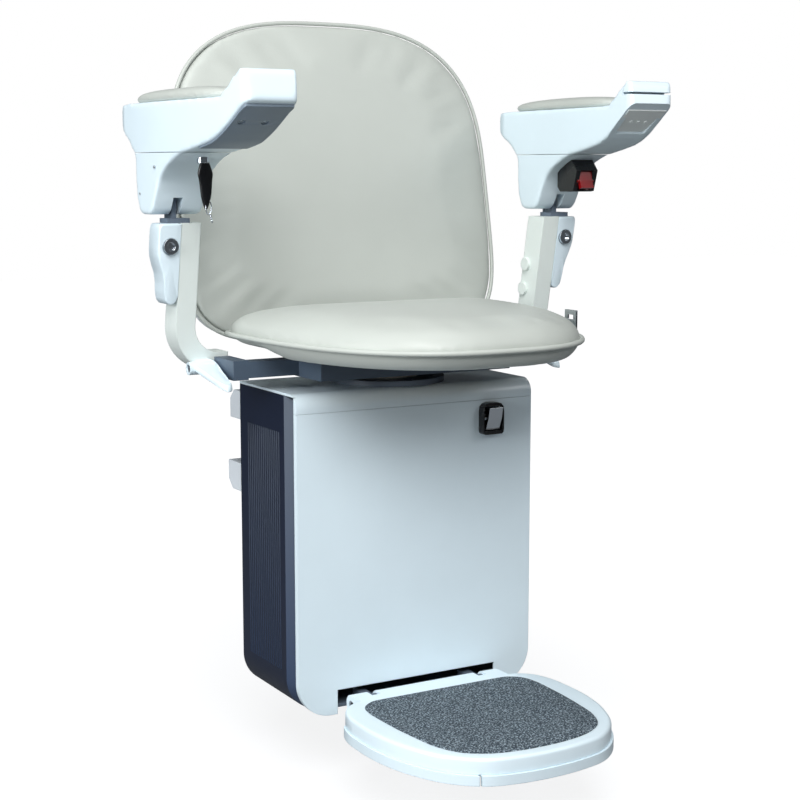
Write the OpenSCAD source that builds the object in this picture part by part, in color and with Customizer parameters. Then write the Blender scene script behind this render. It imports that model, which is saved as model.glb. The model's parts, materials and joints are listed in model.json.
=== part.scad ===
/* [Carriage] */
// Width of the carriage housing
carriage_w = 340; // [320:1:360]
// Depth of the carriage from the rail side to the front face
carriage_d = 163; // [150:1:180]
// Height of the front cover from the floor to the cap seam
carriage_h = 381; // [360:1:410]
// Height of the top cap above its seam
cap_h = 23; // [21:1:28]
// Height of the cap seam above the rail centre
seam_rise = 58; // [55:1:64]
// Wall of the moulded covers
cover_wall = 3; // [2.5:0.1:3.5]
// Radius of the housing's lower corners
corner_r = 45; // [35:1:55]
// Width of the slot that the footrest hinges in
slot_w = 232; // [222:1:236]
// Height of the slot above the floor
slot_h = 31; // [30:0.5:34]

/* [Rail] */
// Height of the rail that runs between the rollers
rail_h = 54; // [50:1:58]
// Thickness of the pad that rides on the rail's front face
pad_t = 5; // [4:0.5:6]
// Diameter of a guide roller
roller_d = 30; // [28:1:32]
// Length of a guide roller
roller_l = 24; // [20:1:26]
// Distance between the left and right rollers
roller_span = 280; // [270:1:284]

/* [Footrest] */
// Width of the footrest plate
footrest_w = 300; // [280:1:316]
// Reach of the footrest in front of the front cover
footrest_reach = 300; // [270:1:320]
// Height of the footrest's upper face above the carriage floor
footrest_rise = 28.5; // [27.5:0.5:29.5]
// Height of the footrest plate's rim
footrest_rim = 19; // [18:0.5:21]
// Height of the safety skirts
skirt_h = 12; // [9:0.5:13]

/* [Seat] */
// Width of the seat cushion at its seam
seat_w = 404; // [390:1:410]
// Depth of the seat cushion from front to rear
seat_d = 361; // [350:1:372]
// Height of the cushion band below the seam
band_h = 15; // [13:0.5:18]
// Height of the crown above the seam
crown_h = 38; // [32:1:40]
// Height of the steel box that carries the seat
frame_h = 34.7; // [32:0.1:38]
// Width of the steel box that carries the seat
frame_w = 272; // [256:1:284]

/* [Backrest] */
// Width of the backrest cushion
back_w = 470; // [450:1:476]
// Length of the backrest along its slope
back_l = 424; // [400:1:440]
// Angle that the backrest leans back
back_lean = 11.5; // [10:0.5:14]
// Thickness of the backrest cushion from its seam to its rear
back_t = 26; // [22:1:32]
// Crown of the backrest's front face
back_crown = 15; // [12:1:18]

/* [Arms] */
// Width across the outer faces of the two arms
arms_w = 620; // [616:1:650]
// Width of one arm
arm_w = 65; // [62:1:67]
// Height of the arm pivot above the seat cushion's lower face
pivot_rise = 199; // [195:1:206]
// Thickness of an upright from side to side
upright_t = 25; // [22:1:27]
// Depth of an upright from front to rear
upright_d = 37; // [34:1:40]
// Wall of the arm's moulded shells
shell_wall = 3; // [2.5:0.1:3.5]
// Thickness of an arm pad above its shell
pad_h = 15; // [11:0.5:17]

/* [Hidden] */

// Overrun of every cut past the face it opens
over = 1;
// Gap between solids that sit beside each other and don't slide
gap = 0.3;
// Radial clearance of a pin or shaft that turns in its hole
run = 0.05;
// Degrees in a full turn
turn = 360;
// Facets of a full circle
fine = 64;
// Facets of the circles inside a hull
coarse = 32;

// The origin is the middle of the wear pad's rear face, at the rail's centre height
back_y = -pad_t;
front_y = back_y - carriage_d;
mid_y = (back_y + front_y) / 2;
seam_z = seam_rise;
cap_top = seam_z + cap_h;
floor_z = seam_z - carriage_h;

// Steel chassis inside the covers
plate_t = 5;
deck_t = 5;
chassis_inset = 14;
deck_z = cap_top - cover_wall - gap;
floor_t = 4;

// Depth of the bright edge that the front cover and cap turn round the sides
return_d = 7.5;
// Sloping border of the dark side panels
panel_wall = 4;
panel_bevel = 7;
panel_bevel_d = 26;
panel_back_y = back_y - gap;
panel_front_y = front_y + return_d + gap;
rib_count = 17;
rib_w = 2.4;
rib_pitch = 5.6;
rib_depth = 1.2;
rib_shift = 14;
rib_top_drop = 50;
rib_floor_rise = 52;

// A mirrored copy of what is modelled on the left
module both_sides() {
    children();
    mirror([1, 0, 0]) children();
}

// Front view of the housing, drawn in from its outer face by an inset
module housing_outline(inset) {
    r = corner_r - inset;
    half = carriage_w / 2 - inset;
    top = cap_top - cover_wall - gap - inset;
    low = floor_z + inset;
    translate([-half, low + r]) square([2 * half, top - low - r]);
    translate([-half + r, low]) square([2 * (half - r), top - low]);
    for (s = [-1, 1]) translate([s * (half - r), low + r]) circle(r = r, $fn = fine);
}

// A slab of the housing's front view between two depths
module housing_slab(inset, y_front, y_rear) {
    translate([0, y_rear, 0]) rotate([90, 0, 0])
        linear_extrude(height = y_rear - y_front) housing_outline(inset);
}

// A box between two corners
module block(a, b) {
    translate(a) cube([b[0] - a[0], b[1] - a[1], b[2] - a[2]]);
}

// A round bar along X, Y or Z that starts at a point
module bar_x(p, r, l) { translate(p) rotate([0, 90, 0]) cylinder(r = r, h = l, $fn = fine); }
module bar_y(p, r, l) { translate(p) rotate([-90, 0, 0]) cylinder(r = r, h = l, $fn = fine); }
module bar_z(p, r, l) { translate(p) cylinder(r = r, h = l, $fn = fine); }

// An outline in the YZ plane pushed out along X from one place to another
module side_extrude(x0, x1, points) {
    translate([x0, 0, 0]) rotate([90, 0, 90]) linear_extrude(height = x1 - x0) polygon(points);
}

// An outline moved inwards by a distance, corner by corner
function unit2(v) = v / norm(v);
function left_of(v) = [-v[1], v[0]];
function inset_corner(a, b, c, d) =
    let (u = unit2(b - a), v = unit2(c - b), n = unit2(left_of(u) + left_of(v)))
    b + n * d / max(cos(acos(max(-1, min(1, u * v))) / 2), 0.5);
function inset_points(p, d) =
    [for (i = [0 : len(p) - 1])
        inset_corner(p[(i + len(p) - 1) % len(p)], p[i], p[(i + 1) % len(p)], d)];

// Rollers and the rail they run on
roller_r = roller_d / 2;
roller_x = roller_span / 2;
roller_z = rail_h / 2 + roller_r;
axle_r = 5;
roller_y0 = 4;
bracket_w = 50;
bracket_wall = 4;
bracket_lip = 2;
bracket_end = 9;
lower_bracket_extra = 8;
upper_bracket_rear = roller_y0 + roller_l + bracket_end;
lower_bracket_rear = upper_bracket_rear + lower_bracket_extra;
bracket_chamfer = 12;
bracket_top = roller_z + roller_r + bracket_end;
wear_pad_w = 150;
wear_pad_h = 36;

// Drive
pinion_teeth = 14;
pinion_module = 4;
pinion_r = pinion_teeth * pinion_module / 2;
pinion_l = 16;
pinion_y0 = 4;
rack_t = 6;
pinion_z = -rail_h / 2 - rack_t - pinion_r;
shaft_r = 9;
gearbox_w = 96;
gearbox_d = 58;
gearbox_h = 84;
gearbox_face_y = back_y - plate_t;
motor_r = 37;
motor_l = 132;
motor_neck = 8;
battery_size = [66, 94, 151];
battery_x = 58;
battery_y = 10;
terminal_r = 5;
terminal_h = 4;
board_w = 90;
board_h = 70;
board_t = 1.6;
board_post = 10;
board_post_r = 3;
relay_w = 12;
relay_pitch = 22;

// Isolator switch on the front cover
isolator_x = 105;
isolator_drop = 23.5;
isolator_size = 31;
isolator_h = 41;
isolator_depth = 12;
isolator_body = 28;
isolator_wall = 2;
isolator_swing = 2.6;
isolator_nose = 12;
isolator_edge = 14.5;
isolator_rocker_size = 20;
isolator_pivot_r = 2.5;

// Footrest and its hinge
hinge_rod_r = 5;
footrest_top = floor_z + footrest_rise;
footrest_low = footrest_top - footrest_rim;
rod_ahead = 20;
rod_drop = 12;
rod_y = front_y - rod_ahead;
rod_z = footrest_top - rod_drop;
lug_w = 12;
lug_x = 78;
lug_r = 9;
tongue_w = slot_w - 16;
tongue_reach = 46;
plate_wall = 3.5;
pocket_rear_y = rod_y - tongue_reach - plate_wall;
mat_t = 2.5;
mat_w = 240;
mat_front = 284;
mat_rear = 54;
skirt_t = 3;
skirt_out = 2.5;
skirt_gap = 2.6;
skirt_lip = 2;
skirt_lip_h = 6;
skirt_flange = 2;
skirt_lip_rear = 78;
skirt_rear = 66;
skirt_split_x = -88;
skirt_notch_share = 0.86;

// Swivel
index_r = 74;
index_t = 7;
bearing_t = 8;
bearing_r = 42;
spindle_r = 16;
spindle_flange_r = 46;
spindle_flange_t = 8;
cable_r = 8;
nut_t = 4;
nut_wall = 3;
frame_z = cap_top + index_t + bearing_t;
frame_top = frame_z + frame_h;
frame_wall = 3;
frame_floor = 4;
frame_front = front_y;
frame_d = 104;
frame_rear = frame_front + frame_d;
hub_wall = 6;
hub_r = spindle_r + hub_wall;
hub_h = 28;

// Lock pin in its guide, under a bridge that holds the spring
pin_x = 56;
pin_y = mid_y;
pin_r = 6;
pin_guide_r = 8.5;
pin_guide_h = 8;
collar_r = 14;
collar_t = 3;
collar_lift = 1.5;
collar_z = frame_z + pin_guide_h + collar_lift;
bridge_t = 3;
bridge_rise = 23.5;
bridge_z = frame_z + bridge_rise;
spring_r = 9;
spring_wire_r = 0.7;
spring_turns = 3;

// Rear beam and the brackets at its ends
beam_inset = 20;
beam_rear = frame_rear - beam_inset;
beam_d = 24;
beam_h = 20;
beam_lift = 2;
beam_low = frame_z + beam_lift;
side_t = 20;
side_reach = 14;
side_rear = frame_rear + side_reach;
stub_t = 4;
stub_low = frame_z + stub_t;
stub_reach = 52;
stub_rear = frame_rear + stub_reach;

// Lever rod and levers
rod_behind = 6;
rod_rise = 12;
lever_y = frame_rear + rod_behind;
lever_z = frame_z + rod_rise;
rod_r = 4.5;
lever_w = 34;
lever_gap = 4;
lever_t = 9;
lever_reach = 76;
lever_dip = 16;
lever_hub_r = 8.5;
lever_lift = 3;
cam_t = 6;
cam_h = 4;
cam_x = pin_x + pin_guide_r + 2 * gap;

// Seat
cushion_low = frame_top + gap;
seam_h = cushion_low + band_h;
seat_ahead = 209;
seat_front = front_y - seat_ahead;
seat_rear = seat_front + seat_d;
seat_mid_y = (seat_front + seat_rear) / 2;
board_thick = 10;
board_inset = 38;
fold_inset = 33;
fold_rise = 13;
fold_y = seat_rear - fold_inset;
fold_z = cushion_low + fold_rise;
fold_r = 5;
ear_x = 100;
ear_t = 6;
ear_r = 10;
ear_foot = 16;
pocket_w = 226;
pocket_reach = 18;
pocket_front = fold_y - pocket_reach;
pocket_top = fold_z + fold_rise;
barrel_l = 40;

// Belt anchor
anchor_y = -222;
anchor_w = 24;
anchor_t = 2.5;
anchor_h = 42;
anchor_lap = 6;
anchor_clear = 3;
anchor_slot = 6;

// Uprights: they lean forwards as they rise
arm_x = arms_w / 2 - arm_w / 2;
arm_in = arms_w / 2 - arm_w;
upright_inset = 60;
upright_in = arms_w / 2 - upright_inset;
upright_out = upright_in + upright_t;
upright_turn = 46;
side_x = upright_in - upright_turn;
lever_x0 = side_x + side_t + lever_gap;
lever_x1 = lever_x0 + lever_w;
lean_slope = 0.19;
bend_out_r = 60;
bend_z = stub_low + bend_out_r;
upright_rise = 155;
upright_top = cushion_low + upright_rise;
cap_r = 9;
cap_t = 4;
cap_drops = [66, 100];
cap_depth_share = 0.75;

// Arm pivot
pivot_z = cushion_low + pivot_rise;
pivot_y = -50;
pivot_pin_r = 6;
pin_half_l = 25;
pivot_plate_t = 6;
pivot_plate_w = 24;
pivot_plate_low = 54;
pivot_block_h = 5.5;
pivot_block_in = 13;
// Between the front of an upright's top and the block on it
pivot_block_set = 4;
// Between the front of an upright's top and the pivot behind it
upright_lead = 28;
pivot_boss_r = 14;
cover_t = 28;
cover_h = 99;
cover_d = 33.5;
cover_ahead = 0.5;
bolt_r = 9.5;
bolt_drop = 28;
bolt_shank_r = 4.5;
bolt_l = 20;
bolt_sink = 4;
bolt_proud = 3;
bolt_socket_r = 5;
bolt_out = 13;
bolt_x = upright_out + bolt_out;
bolt_z = upright_top - bolt_drop;

// Backrest
back_y0 = 4;
back_drop = 3;
back_z0 = cushion_low - back_drop;
shell_t = 5;
shell_share = 0.97;
post_x = 60;
post_w = 40;
post_t = 6;
post_low = frame_z + 2 * gap;
post_share = 0.54;

// Arms
arm_len = 334;
arm_rise = 88;
arm_housing_h = 73;
arm_behind = 86;
arm_rear = pivot_y + arm_behind;
arm_seam_rise = 39;
arm_seam = pivot_z + arm_seam_rise;
arm_flat_share = 0.67;
arm_toe = 21;
arm_toe_from_share = 0.16;
arm_toe_power = 1.6;
nose_in = arm_in - arm_toe;
pad_inset = 24;
pad_y0 = arm_rear - pad_inset;
pad_l = 243;
pad_y1 = pad_y0 - pad_l;
pad_w = 60;
window_wall = 8;
slot_clear = 3;
slot_drop = 14;

// The steel body: back plate, deck, floor and the lugs that the footrest hinges on
module chassis() {
    half = carriage_w / 2 - chassis_inset;
    low = floor_z + panel_wall + gap;
    front = front_y + return_d + over;
    color("slategray") difference() {
        union() {
            block([-half, gearbox_face_y, low + corner_r / 2], [half, back_y, deck_z]);
            block([-half + corner_r, gearbox_face_y, low], [half - corner_r, back_y, deck_z]);
            block([-half, front + 2 * cover_wall + over, deck_z - deck_t], [half, back_y, deck_z]);
            block([-half + corner_r, front + cover_wall, low], [half - corner_r, back_y, low + floor_t]);
            for (s = [-1, 1]) {
                block([s * lug_x - lug_w / 2, rod_y, low],
                      [s * lug_x + lug_w / 2, front + lug_w, rod_z + lug_r - cover_wall]);
                bar_x([s * lug_x - lug_w / 2, rod_y, rod_z], lug_r, lug_w);
            }
        }
        for (s = [-1, 1])
            bar_x([s * lug_x - lug_w, rod_y, rod_z], hinge_rod_r + run, 2 * lug_w);
        bar_y([0, gearbox_face_y - over, pinion_z], shaft_r + over, plate_t + 2 * over);
        bar_z([0, mid_y, deck_z - deck_t - over], spindle_r + run, deck_t + 2 * over);
        for (x = [-roller_x, roller_x], z = [-roller_z, roller_z])
            bar_y([x, gearbox_face_y - over, z], axle_r + run, plate_t + 2 * over);
    }
}

// Profile of the cap: a flat top that rounds over into a front lip
cap_round = 18;
module cap_profile(wall) {
    round_y = front_y + cap_round;
    intersection() {
        union() {
            translate([round_y, seam_z - wall]) square([back_y - round_y, cap_h]);
            translate([front_y + wall, seam_z - wall]) square([cap_round, cap_h - cap_round + wall]);
            translate([round_y, cap_top - cap_round]) circle(r = cap_round - wall, $fn = fine);
        }
        translate([front_y, seam_z - wall]) square([carriage_d, cap_h]);
    }
}

module top_cap() {
    half = carriage_w / 2;
    color("white") difference() {
        translate([-half, 0, 0]) rotate([90, 0, 90]) linear_extrude(height = carriage_w) cap_profile(0);
        translate([-half + cover_wall, 0, 0]) rotate([90, 0, 90])
            linear_extrude(height = carriage_w - 2 * cover_wall) cap_profile(cover_wall);
        both_sides() block([half - cover_wall - gap, front_y + return_d, seam_z - over],
                           [half + over, back_y + over, cap_top - cover_wall]);
        bar_z([0, mid_y, cap_top - cover_wall - over], spindle_flange_r, cover_wall + 2 * over);
    }
}

// The moulded front cover with its slot for the footrest hinge
module front_cover() {
    color("white") difference() {
        intersection() {
            housing_slab(0, front_y, front_y + return_d);
            block([-carriage_w, front_y - over, floor_z - over], [carriage_w, back_y, seam_z - gap]);
        }
        intersection() {
            housing_slab(cover_wall, front_y + cover_wall, front_y + return_d + over);
            block([-carriage_w, front_y, floor_z], [carriage_w, back_y, seam_z + over]);
        }
        block([-slot_w / 2, front_y - over, floor_z - over], [slot_w / 2, back_y, floor_z + slot_h]);
        block([isolator_x - isolator_body / 2 - gap, front_y - over, isolator_z - isolator_body / 2 - gap],
              [isolator_x + isolator_body / 2 + gap, back_y, isolator_z + isolator_body / 2 + gap]);
    }
}

// Dark side panel with a sloping front and top border and fine upright ribs
module side_panel_left() {
    slope_y = panel_front_y + panel_bevel_d;
    bevel = panel_bevel;
    color("midnightblue") difference() {
        union() {
            housing_slab(0, slope_y, panel_back_y);
            hull() {
                housing_slab(bevel, panel_front_y, panel_front_y + over);
                housing_slab(0, slope_y, slope_y + over);
            }
        }
        housing_slab(panel_wall, slope_y, panel_back_y + over);
        housing_slab(panel_wall + bevel, panel_front_y - over, slope_y + over);
        block([-slot_w / 2 - gap, front_y, floor_z - over], [carriage_w, over, cap_top]);
        block([-carriage_w / 2 + chassis_inset - gap, front_y, 0], [carriage_w, over, cap_top]);
        for (i = [0 : rib_count - 1])
            let (y = slope_y + rib_shift + i * rib_pitch)
                block([-carriage_w / 2 - over, y, floor_z + rib_floor_rise],
                      [-carriage_w / 2 + rib_depth, y + rib_w, cap_top - rib_top_drop]);
    }
}

module side_panel_right() { mirror([1, 0, 0]) side_panel_left(); }

// Brackets that hold the guide rollers above and below the rail
module roller_bracket(rear) {
    half = bracket_w / 2;
    low = rail_h / 2 + bracket_lip;
    difference() {
        side_extrude(-half, half, [[back_y, low], [rear, low], [rear, bracket_top - bracket_chamfer],
            [rear - bracket_chamfer, bracket_top], [back_y, bracket_top]]);
        block([-roller_r - bracket_lip, back_y - over, low - over],
              [roller_r + bracket_lip, rear - bracket_wall - over, roller_z + roller_r + bracket_lip]);
        bar_y([0, back_y, roller_z], axle_r + run, rear + bracket_wall + 2 * over);
    }
}

module roller_brackets() {
    color("gainsboro") for (x = [-roller_x, roller_x]) translate([x, 0, 0]) {
        roller_bracket(upper_bracket_rear);
        mirror([0, 0, 1]) roller_bracket(lower_bracket_rear);
    }
}

module roller_axles() {
    color("silver") for (x = [-roller_x, roller_x]) {
        bar_y([x, gearbox_face_y, roller_z], axle_r, upper_bracket_rear - gearbox_face_y);
        bar_y([x, gearbox_face_y, -roller_z], axle_r, lower_bracket_rear - gearbox_face_y);
    }
}

module roller(x, z) {
    color("darkslategray") difference() {
        bar_y([x, roller_y0, z], roller_r, roller_l);
        bar_y([x, roller_y0 - over, z], axle_r + run, roller_l + 2 * over);
    }
}

module roller_upper_left() { roller(-roller_x, roller_z); }
module roller_upper_right() { roller(roller_x, roller_z); }
module roller_lower_left() { roller(-roller_x, -roller_z); }
module roller_lower_right() { roller(roller_x, -roller_z); }

module wear_pad() {
    color("black") block([-wear_pad_w / 2, back_y, -wear_pad_h / 2], [wear_pad_w / 2, 0, wear_pad_h / 2]);
}

// The drive pinion with straight-sided teeth
tooth_share = 0.42;
tip_share = 0.2;
module drive_pinion() {
    root_r = pinion_r - 1.2 * pinion_module;
    tip_r = pinion_r + pinion_module;
    step = turn / pinion_teeth;
    pinion_end = pinion_y0 + pinion_l;
    shaft_y = gearbox_face_y - gearbox_d / 2;
    color("silver") {
        bar_y([0, shaft_y, pinion_z], shaft_r, pinion_end - shaft_y);
        translate([0, pinion_end, pinion_z]) rotate([90, 0, 0]) linear_extrude(height = pinion_l)
            polygon([for (i = [0 : pinion_teeth - 1])
                for (c = [[root_r, -tooth_share], [tip_r, -tip_share],
                          [tip_r, tip_share], [root_r, tooth_share]])
                    c[0] * [sin((i + c[1]) * step), cos((i + c[1]) * step)]]);
    }
}

module gearbox() {
    half_w = gearbox_w / 2;
    half_h = gearbox_h / 2;
    color("dimgray") difference() {
        block([-half_w, gearbox_face_y - gearbox_d, pinion_z - half_h],
              [half_w, gearbox_face_y, pinion_z + half_h]);
        bar_y([0, gearbox_face_y - gearbox_d / 2 - gap, pinion_z], shaft_r + run, gearbox_d);
    }
}

module drive_motor() {
    top = pinion_z - gearbox_h / 2;
    y = gearbox_face_y - gearbox_d / 2;
    color("dimgray") {
        bar_z([0, y - motor_r / 2, top - motor_l], motor_r, motor_l - motor_neck);
        bar_z([0, y, top - motor_neck - over], gearbox_d / 2 - over, motor_neck + over);
    }
}

module batteries() {
    z = floor_z + panel_wall + gap + floor_t;
    color("black") both_sides() {
        block([battery_x, gearbox_face_y - battery_y - battery_size[1], z],
              [battery_x + battery_size[0], gearbox_face_y - battery_y, z + battery_size[2]]);
        for (y = [battery_size[1] / 4, battery_size[1] * 3 / 4])
            bar_z([battery_x + battery_size[0] / 2, gearbox_face_y - battery_y - y, z + battery_size[2]],
                  terminal_r, terminal_h);
    }
}

// Circuit board on posts that stand on the back plate
module control_board() {
    x = -carriage_w / 2 + chassis_inset + board_post;
    z = -board_h / 2;
    y = gearbox_face_y - board_post;
    color("darkgreen") {
        block([x, y - board_t, z], [x + board_w, y, z + board_h]);
        for (px = [board_post_r, board_w - board_post_r], pz = [board_post_r, board_h - board_post_r])
            bar_y([x + px, y, z + pz], board_post_r, board_post);
        for (i = [0 : 2])
            block([x + board_post + i * relay_pitch, y - board_t - board_post, z + board_post],
                  [x + board_post + i * relay_pitch + relay_w, y - board_t, z + board_h - board_post]);
    }
}

// Isolator switch: a square bezel let into the cover, and a rocker on a cross pivot
isolator_z = seam_z - isolator_drop;
module isolator_bezel() {
    h = isolator_size / 2;
    b = isolator_body / 2;
    p = isolator_rocker_size / 2 + gap;
    half_h = isolator_h / 2;
    color("black") difference() {
        union() {
            block([isolator_x - h, front_y - isolator_depth, isolator_z - half_h],
                  [isolator_x + h, front_y, isolator_z + half_h]);
            block([isolator_x - b, front_y - over, isolator_z - b],
                  [isolator_x + b, front_y + isolator_depth, isolator_z + b]);
        }
        block([isolator_x - p, front_y - isolator_depth - over, isolator_z - isolator_edge - isolator_swing],
              [isolator_x + p, front_y + isolator_depth / 2, isolator_z + isolator_edge + isolator_swing]);
        bar_x([isolator_x - h + isolator_wall, front_y - isolator_depth / 2, isolator_z],
              isolator_pivot_r + run, isolator_size - 2 * isolator_wall);
    }
}

module isolator_rocker() {
    h = isolator_rocker_size / 2;
    e = isolator_edge;
    y = front_y - isolator_depth / 2;
    slope = isolator_depth / 4;
    color("silver") {
        side_extrude(isolator_x - h, isolator_x + h, [[y - slope, isolator_z - e],
            [y + slope, isolator_z - e], [y + slope, isolator_z + e],
            [y - isolator_nose, isolator_z + e], [y - 3 * slope, isolator_z]]);
        bar_x([isolator_x - h - cover_wall, y, isolator_z], isolator_pivot_r, 2 * h + 2 * cover_wall);
    }
}

// Right half of the footrest's outline: shares of its half width and of its reach
footrest_half_shares = [[0, 1], [0.27, 0.99], [0.52, 0.957], [0.75, 0.86], [0.9, 0.72], [0.985, 0.55],
    [1, 0.4], [0.98, 0.283], [0.91, 0.2], [0.8, 0.16], [0.72, 0.152]];
function footrest_points(grow) = let (
    right = [for (s = footrest_half_shares)
        [s[0] * (footrest_w / 2 + grow), front_y - s[1] * (footrest_reach + grow)]],
    n = len(right))
    concat(right, [for (i = [n - 1 : -1 : 1]) [-right[i][0], right[i][1]]]);

module footrest_rod() {
    color("dimgray") bar_x([-tongue_w / 2, rod_y, rod_z], hinge_rod_r, tongue_w);
}

module footrest_plate() {
    half = tongue_w / 2;
    color("white") difference() {
        union() {
            translate([0, 0, footrest_low]) linear_extrude(height = footrest_rim) polygon(footrest_points(0));
            block([-half, rod_y - tongue_reach, rod_z - rod_drop], [half, rod_y, footrest_top]);
            bar_x([-half, rod_y, rod_z], rod_drop, tongue_w);
        }
        translate([0, 0, footrest_low - over]) linear_extrude(height = footrest_rim - plate_wall)
            intersection() {
                polygon(footrest_points(-2 * plate_wall));
                translate([-footrest_w, pocket_rear_y - footrest_reach])
                    square([2 * footrest_w, footrest_reach]);
            }
        for (s = [-1, 1])
            block([s * lug_x - lug_w / 2 - gap, rod_y - lug_r - cover_wall, rod_z - 2 * rod_drop],
                  [s * lug_x + lug_w / 2 + gap, front_y, footrest_top + over]);
        bar_x([-half - over, rod_y, rod_z], hinge_rod_r + run, tongue_w + 2 * over);
        translate([0, 0, footrest_top - mat_seat]) linear_extrude(height = mat_t) polygon(mat_points(gap));
    }
}

// Right half of the mat's outline, in shares of its half width and of its length
mat_seat = 1;
mat_half_shares = [[0, 1], [0.3, 0.99], [0.58, 0.95], [0.8, 0.865], [0.9, 0.76], [0.96, 0.58], [1, 0.28],
    [1, 0.16], [0.95, 0.06], [0.84, 0.012], [0.6, 0]];
function mat_points(grow) = let (
    right = [for (s = mat_half_shares)
        [s[0] * (mat_w / 2 + grow), front_y - mat_rear + grow - s[1] * (mat_front - mat_rear + 2 * grow)]],
    n = len(right))
    concat(right, [for (i = [n - 1 : -1 : 1]) [-right[i][0], right[i][1]]]);

module footrest_mat() {
    color("dimgray") translate([0, 0, footrest_top - mat_seat]) linear_extrude(height = mat_t)
        polygon(mat_points(0));
}

// A band between two outlines under the footrest, up to a depth in front of the cover
module skirt_ring(grow_out, grow_in, rear, z0, z1) {
    translate([0, 0, z0]) linear_extrude(height = z1 - z0) difference() {
        polygon(footrest_points(grow_out));
        polygon(footrest_points(grow_in));
        translate([-footrest_w, front_y - rear]) square([2 * footrest_w, rear]);
    }
}

// Safety skirt: the outer band, a flange under the rim, and a lip that hooks behind the rim
skirt_notch_x = footrest_w / 2 * skirt_notch_share;
module skirt_part(x0, x1) {
    rim = footrest_low;
    lip_in = -2 * plate_wall - gap - skirt_lip;
    reach = 2 * footrest_reach;
    color("white") intersection() {
        union() {
            skirt_ring(skirt_out, skirt_out - skirt_t, skirt_rear, rim - skirt_h, rim);
            skirt_ring(skirt_out - over, lip_in, skirt_lip_rear, rim - skirt_flange, rim);
            skirt_ring(lip_in + skirt_lip, lip_in, skirt_lip_rear, rim - over, rim + skirt_lip_h);
        }
        block([x0, front_y - reach, floor_z - reach], [x1, front_y, floor_z + reach]);
    }
}
module skirt_left() { skirt_part(-footrest_w, skirt_split_x); }
module skirt_front() { skirt_part(skirt_split_x + skirt_gap, skirt_notch_x); }
module skirt_right() { skirt_part(skirt_notch_x + 2 * skirt_gap, footrest_w); }

// Swivel post that stands through the deck, with a nut over the hub
module swivel_spindle() {
    low = deck_z - deck_t - spindle_flange_t;
    nut_z = frame_z + hub_h + gap;
    color("silver") difference() {
        union() {
            bar_z([0, mid_y, low], spindle_flange_r, spindle_flange_t);
            bar_z([0, mid_y, low], spindle_r, nut_z - low + nut_t);
            bar_z([0, mid_y, nut_z], spindle_r + nut_wall, nut_t);
        }
        bar_z([0, mid_y, low - over], cable_r, frame_top);
    }
}

// Plate with a ring of holes for the lock pin
module index_plate() {
    color("dimgray") difference() {
        union() {
            bar_z([0, mid_y, cap_top], index_r, index_t);
            bar_z([0, mid_y, deck_z], spindle_flange_r - over, cap_h);
        }
        bar_z([0, mid_y, deck_z - over], spindle_r + run, 2 * cap_h);
        for (a = [-90, -45, 0, 45, 90]) translate([0, mid_y, 0]) rotate([0, 0, a])
            bar_z([pin_x, 0, cap_top - over], pin_r + run, index_t + 2 * over);
        bar_z([0, mid_y, cap_top + index_t], index_r, cap_h);
    }
}

module swivel_bearing() {
    color("ivory") difference() {
        bar_z([0, mid_y, cap_top + index_t], bearing_r, bearing_t);
        bar_z([0, mid_y, cap_top + index_t - over], spindle_r + run, bearing_t + 2 * over);
    }
}

// Steel box, rear beam and side brackets that carry the seat, the arms and the levers
module seat_frame() {
    half = frame_w / 2;
    side_end = side_x + side_t;
    color("darkslateblue") difference() {
        union() {
            difference() {
                block([-half, frame_front, frame_z], [half, frame_rear, frame_top]);
                block([-half + frame_wall, frame_front + frame_wall, frame_z + frame_floor],
                      [half - frame_wall, frame_rear - frame_wall, frame_top + over]);
            }
            bar_z([0, mid_y, frame_z], hub_r, hub_h);
            bar_z([pin_x, pin_y, frame_z], pin_guide_r, pin_guide_h);
            block([pin_x - collar_r, pin_y - collar_r, bridge_z],
                  [pin_x + collar_r, frame_rear - over, bridge_z + bridge_t]);
            both_sides() {
                block([half - over, beam_rear - beam_d, beam_low], [side_end, beam_rear, beam_low + beam_h]);
                block([side_x, beam_rear - beam_d, frame_z], [side_end, side_rear, frame_z + beam_d]);
                block([side_x, beam_rear - beam_d, frame_z], [side_end, stub_rear, stub_low]);
                side_extrude(ear_x, ear_x + ear_t, [[frame_rear - over, frame_top - ear_foot],
                    [fold_y + ear_r / 2, fold_z - ear_r / 2], [fold_y - ear_r, fold_z],
                    [frame_rear - over, frame_top]]);
                bar_x([ear_x, fold_y, fold_z], ear_r, ear_t);
            }
        }
        bar_z([0, mid_y, frame_z - over], spindle_r + run, frame_h + 2 * over);
        bar_z([pin_x, pin_y, frame_z - over], pin_r + run, frame_h);
        bar_x([-ear_x - 2 * ear_t, fold_y, fold_z], fold_r + run, 2 * ear_x + 4 * ear_t);
        bar_x([-side_end - over, lever_y, lever_z], rod_r + run, 2 * side_end + 2 * over);
        block([cam_x - over, frame_rear - frame_wall - over, frame_z + frame_floor],
              [cam_x + cam_t + over, frame_rear + over, lever_z + 2 * rod_r]);
    }
}

// Cross rod with the cam arm that lifts the lock pin
module lever_rod() {
    tip = collar_z - gap;
    color("silver") {
        bar_x([-lever_x1 + over, lever_y, lever_z], rod_r, 2 * lever_x1 - 2 * over);
        side_extrude(cam_x, cam_x + cam_t, [[lever_y, lever_z - rod_r], [lever_y, lever_z + rod_r],
            [pin_y + collar_r, tip], [pin_y, tip], [pin_y - rod_r, tip - over],
            [pin_y - rod_r, tip - cam_h], [pin_y + rod_r, tip - cam_h]]);
    }
}

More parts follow.
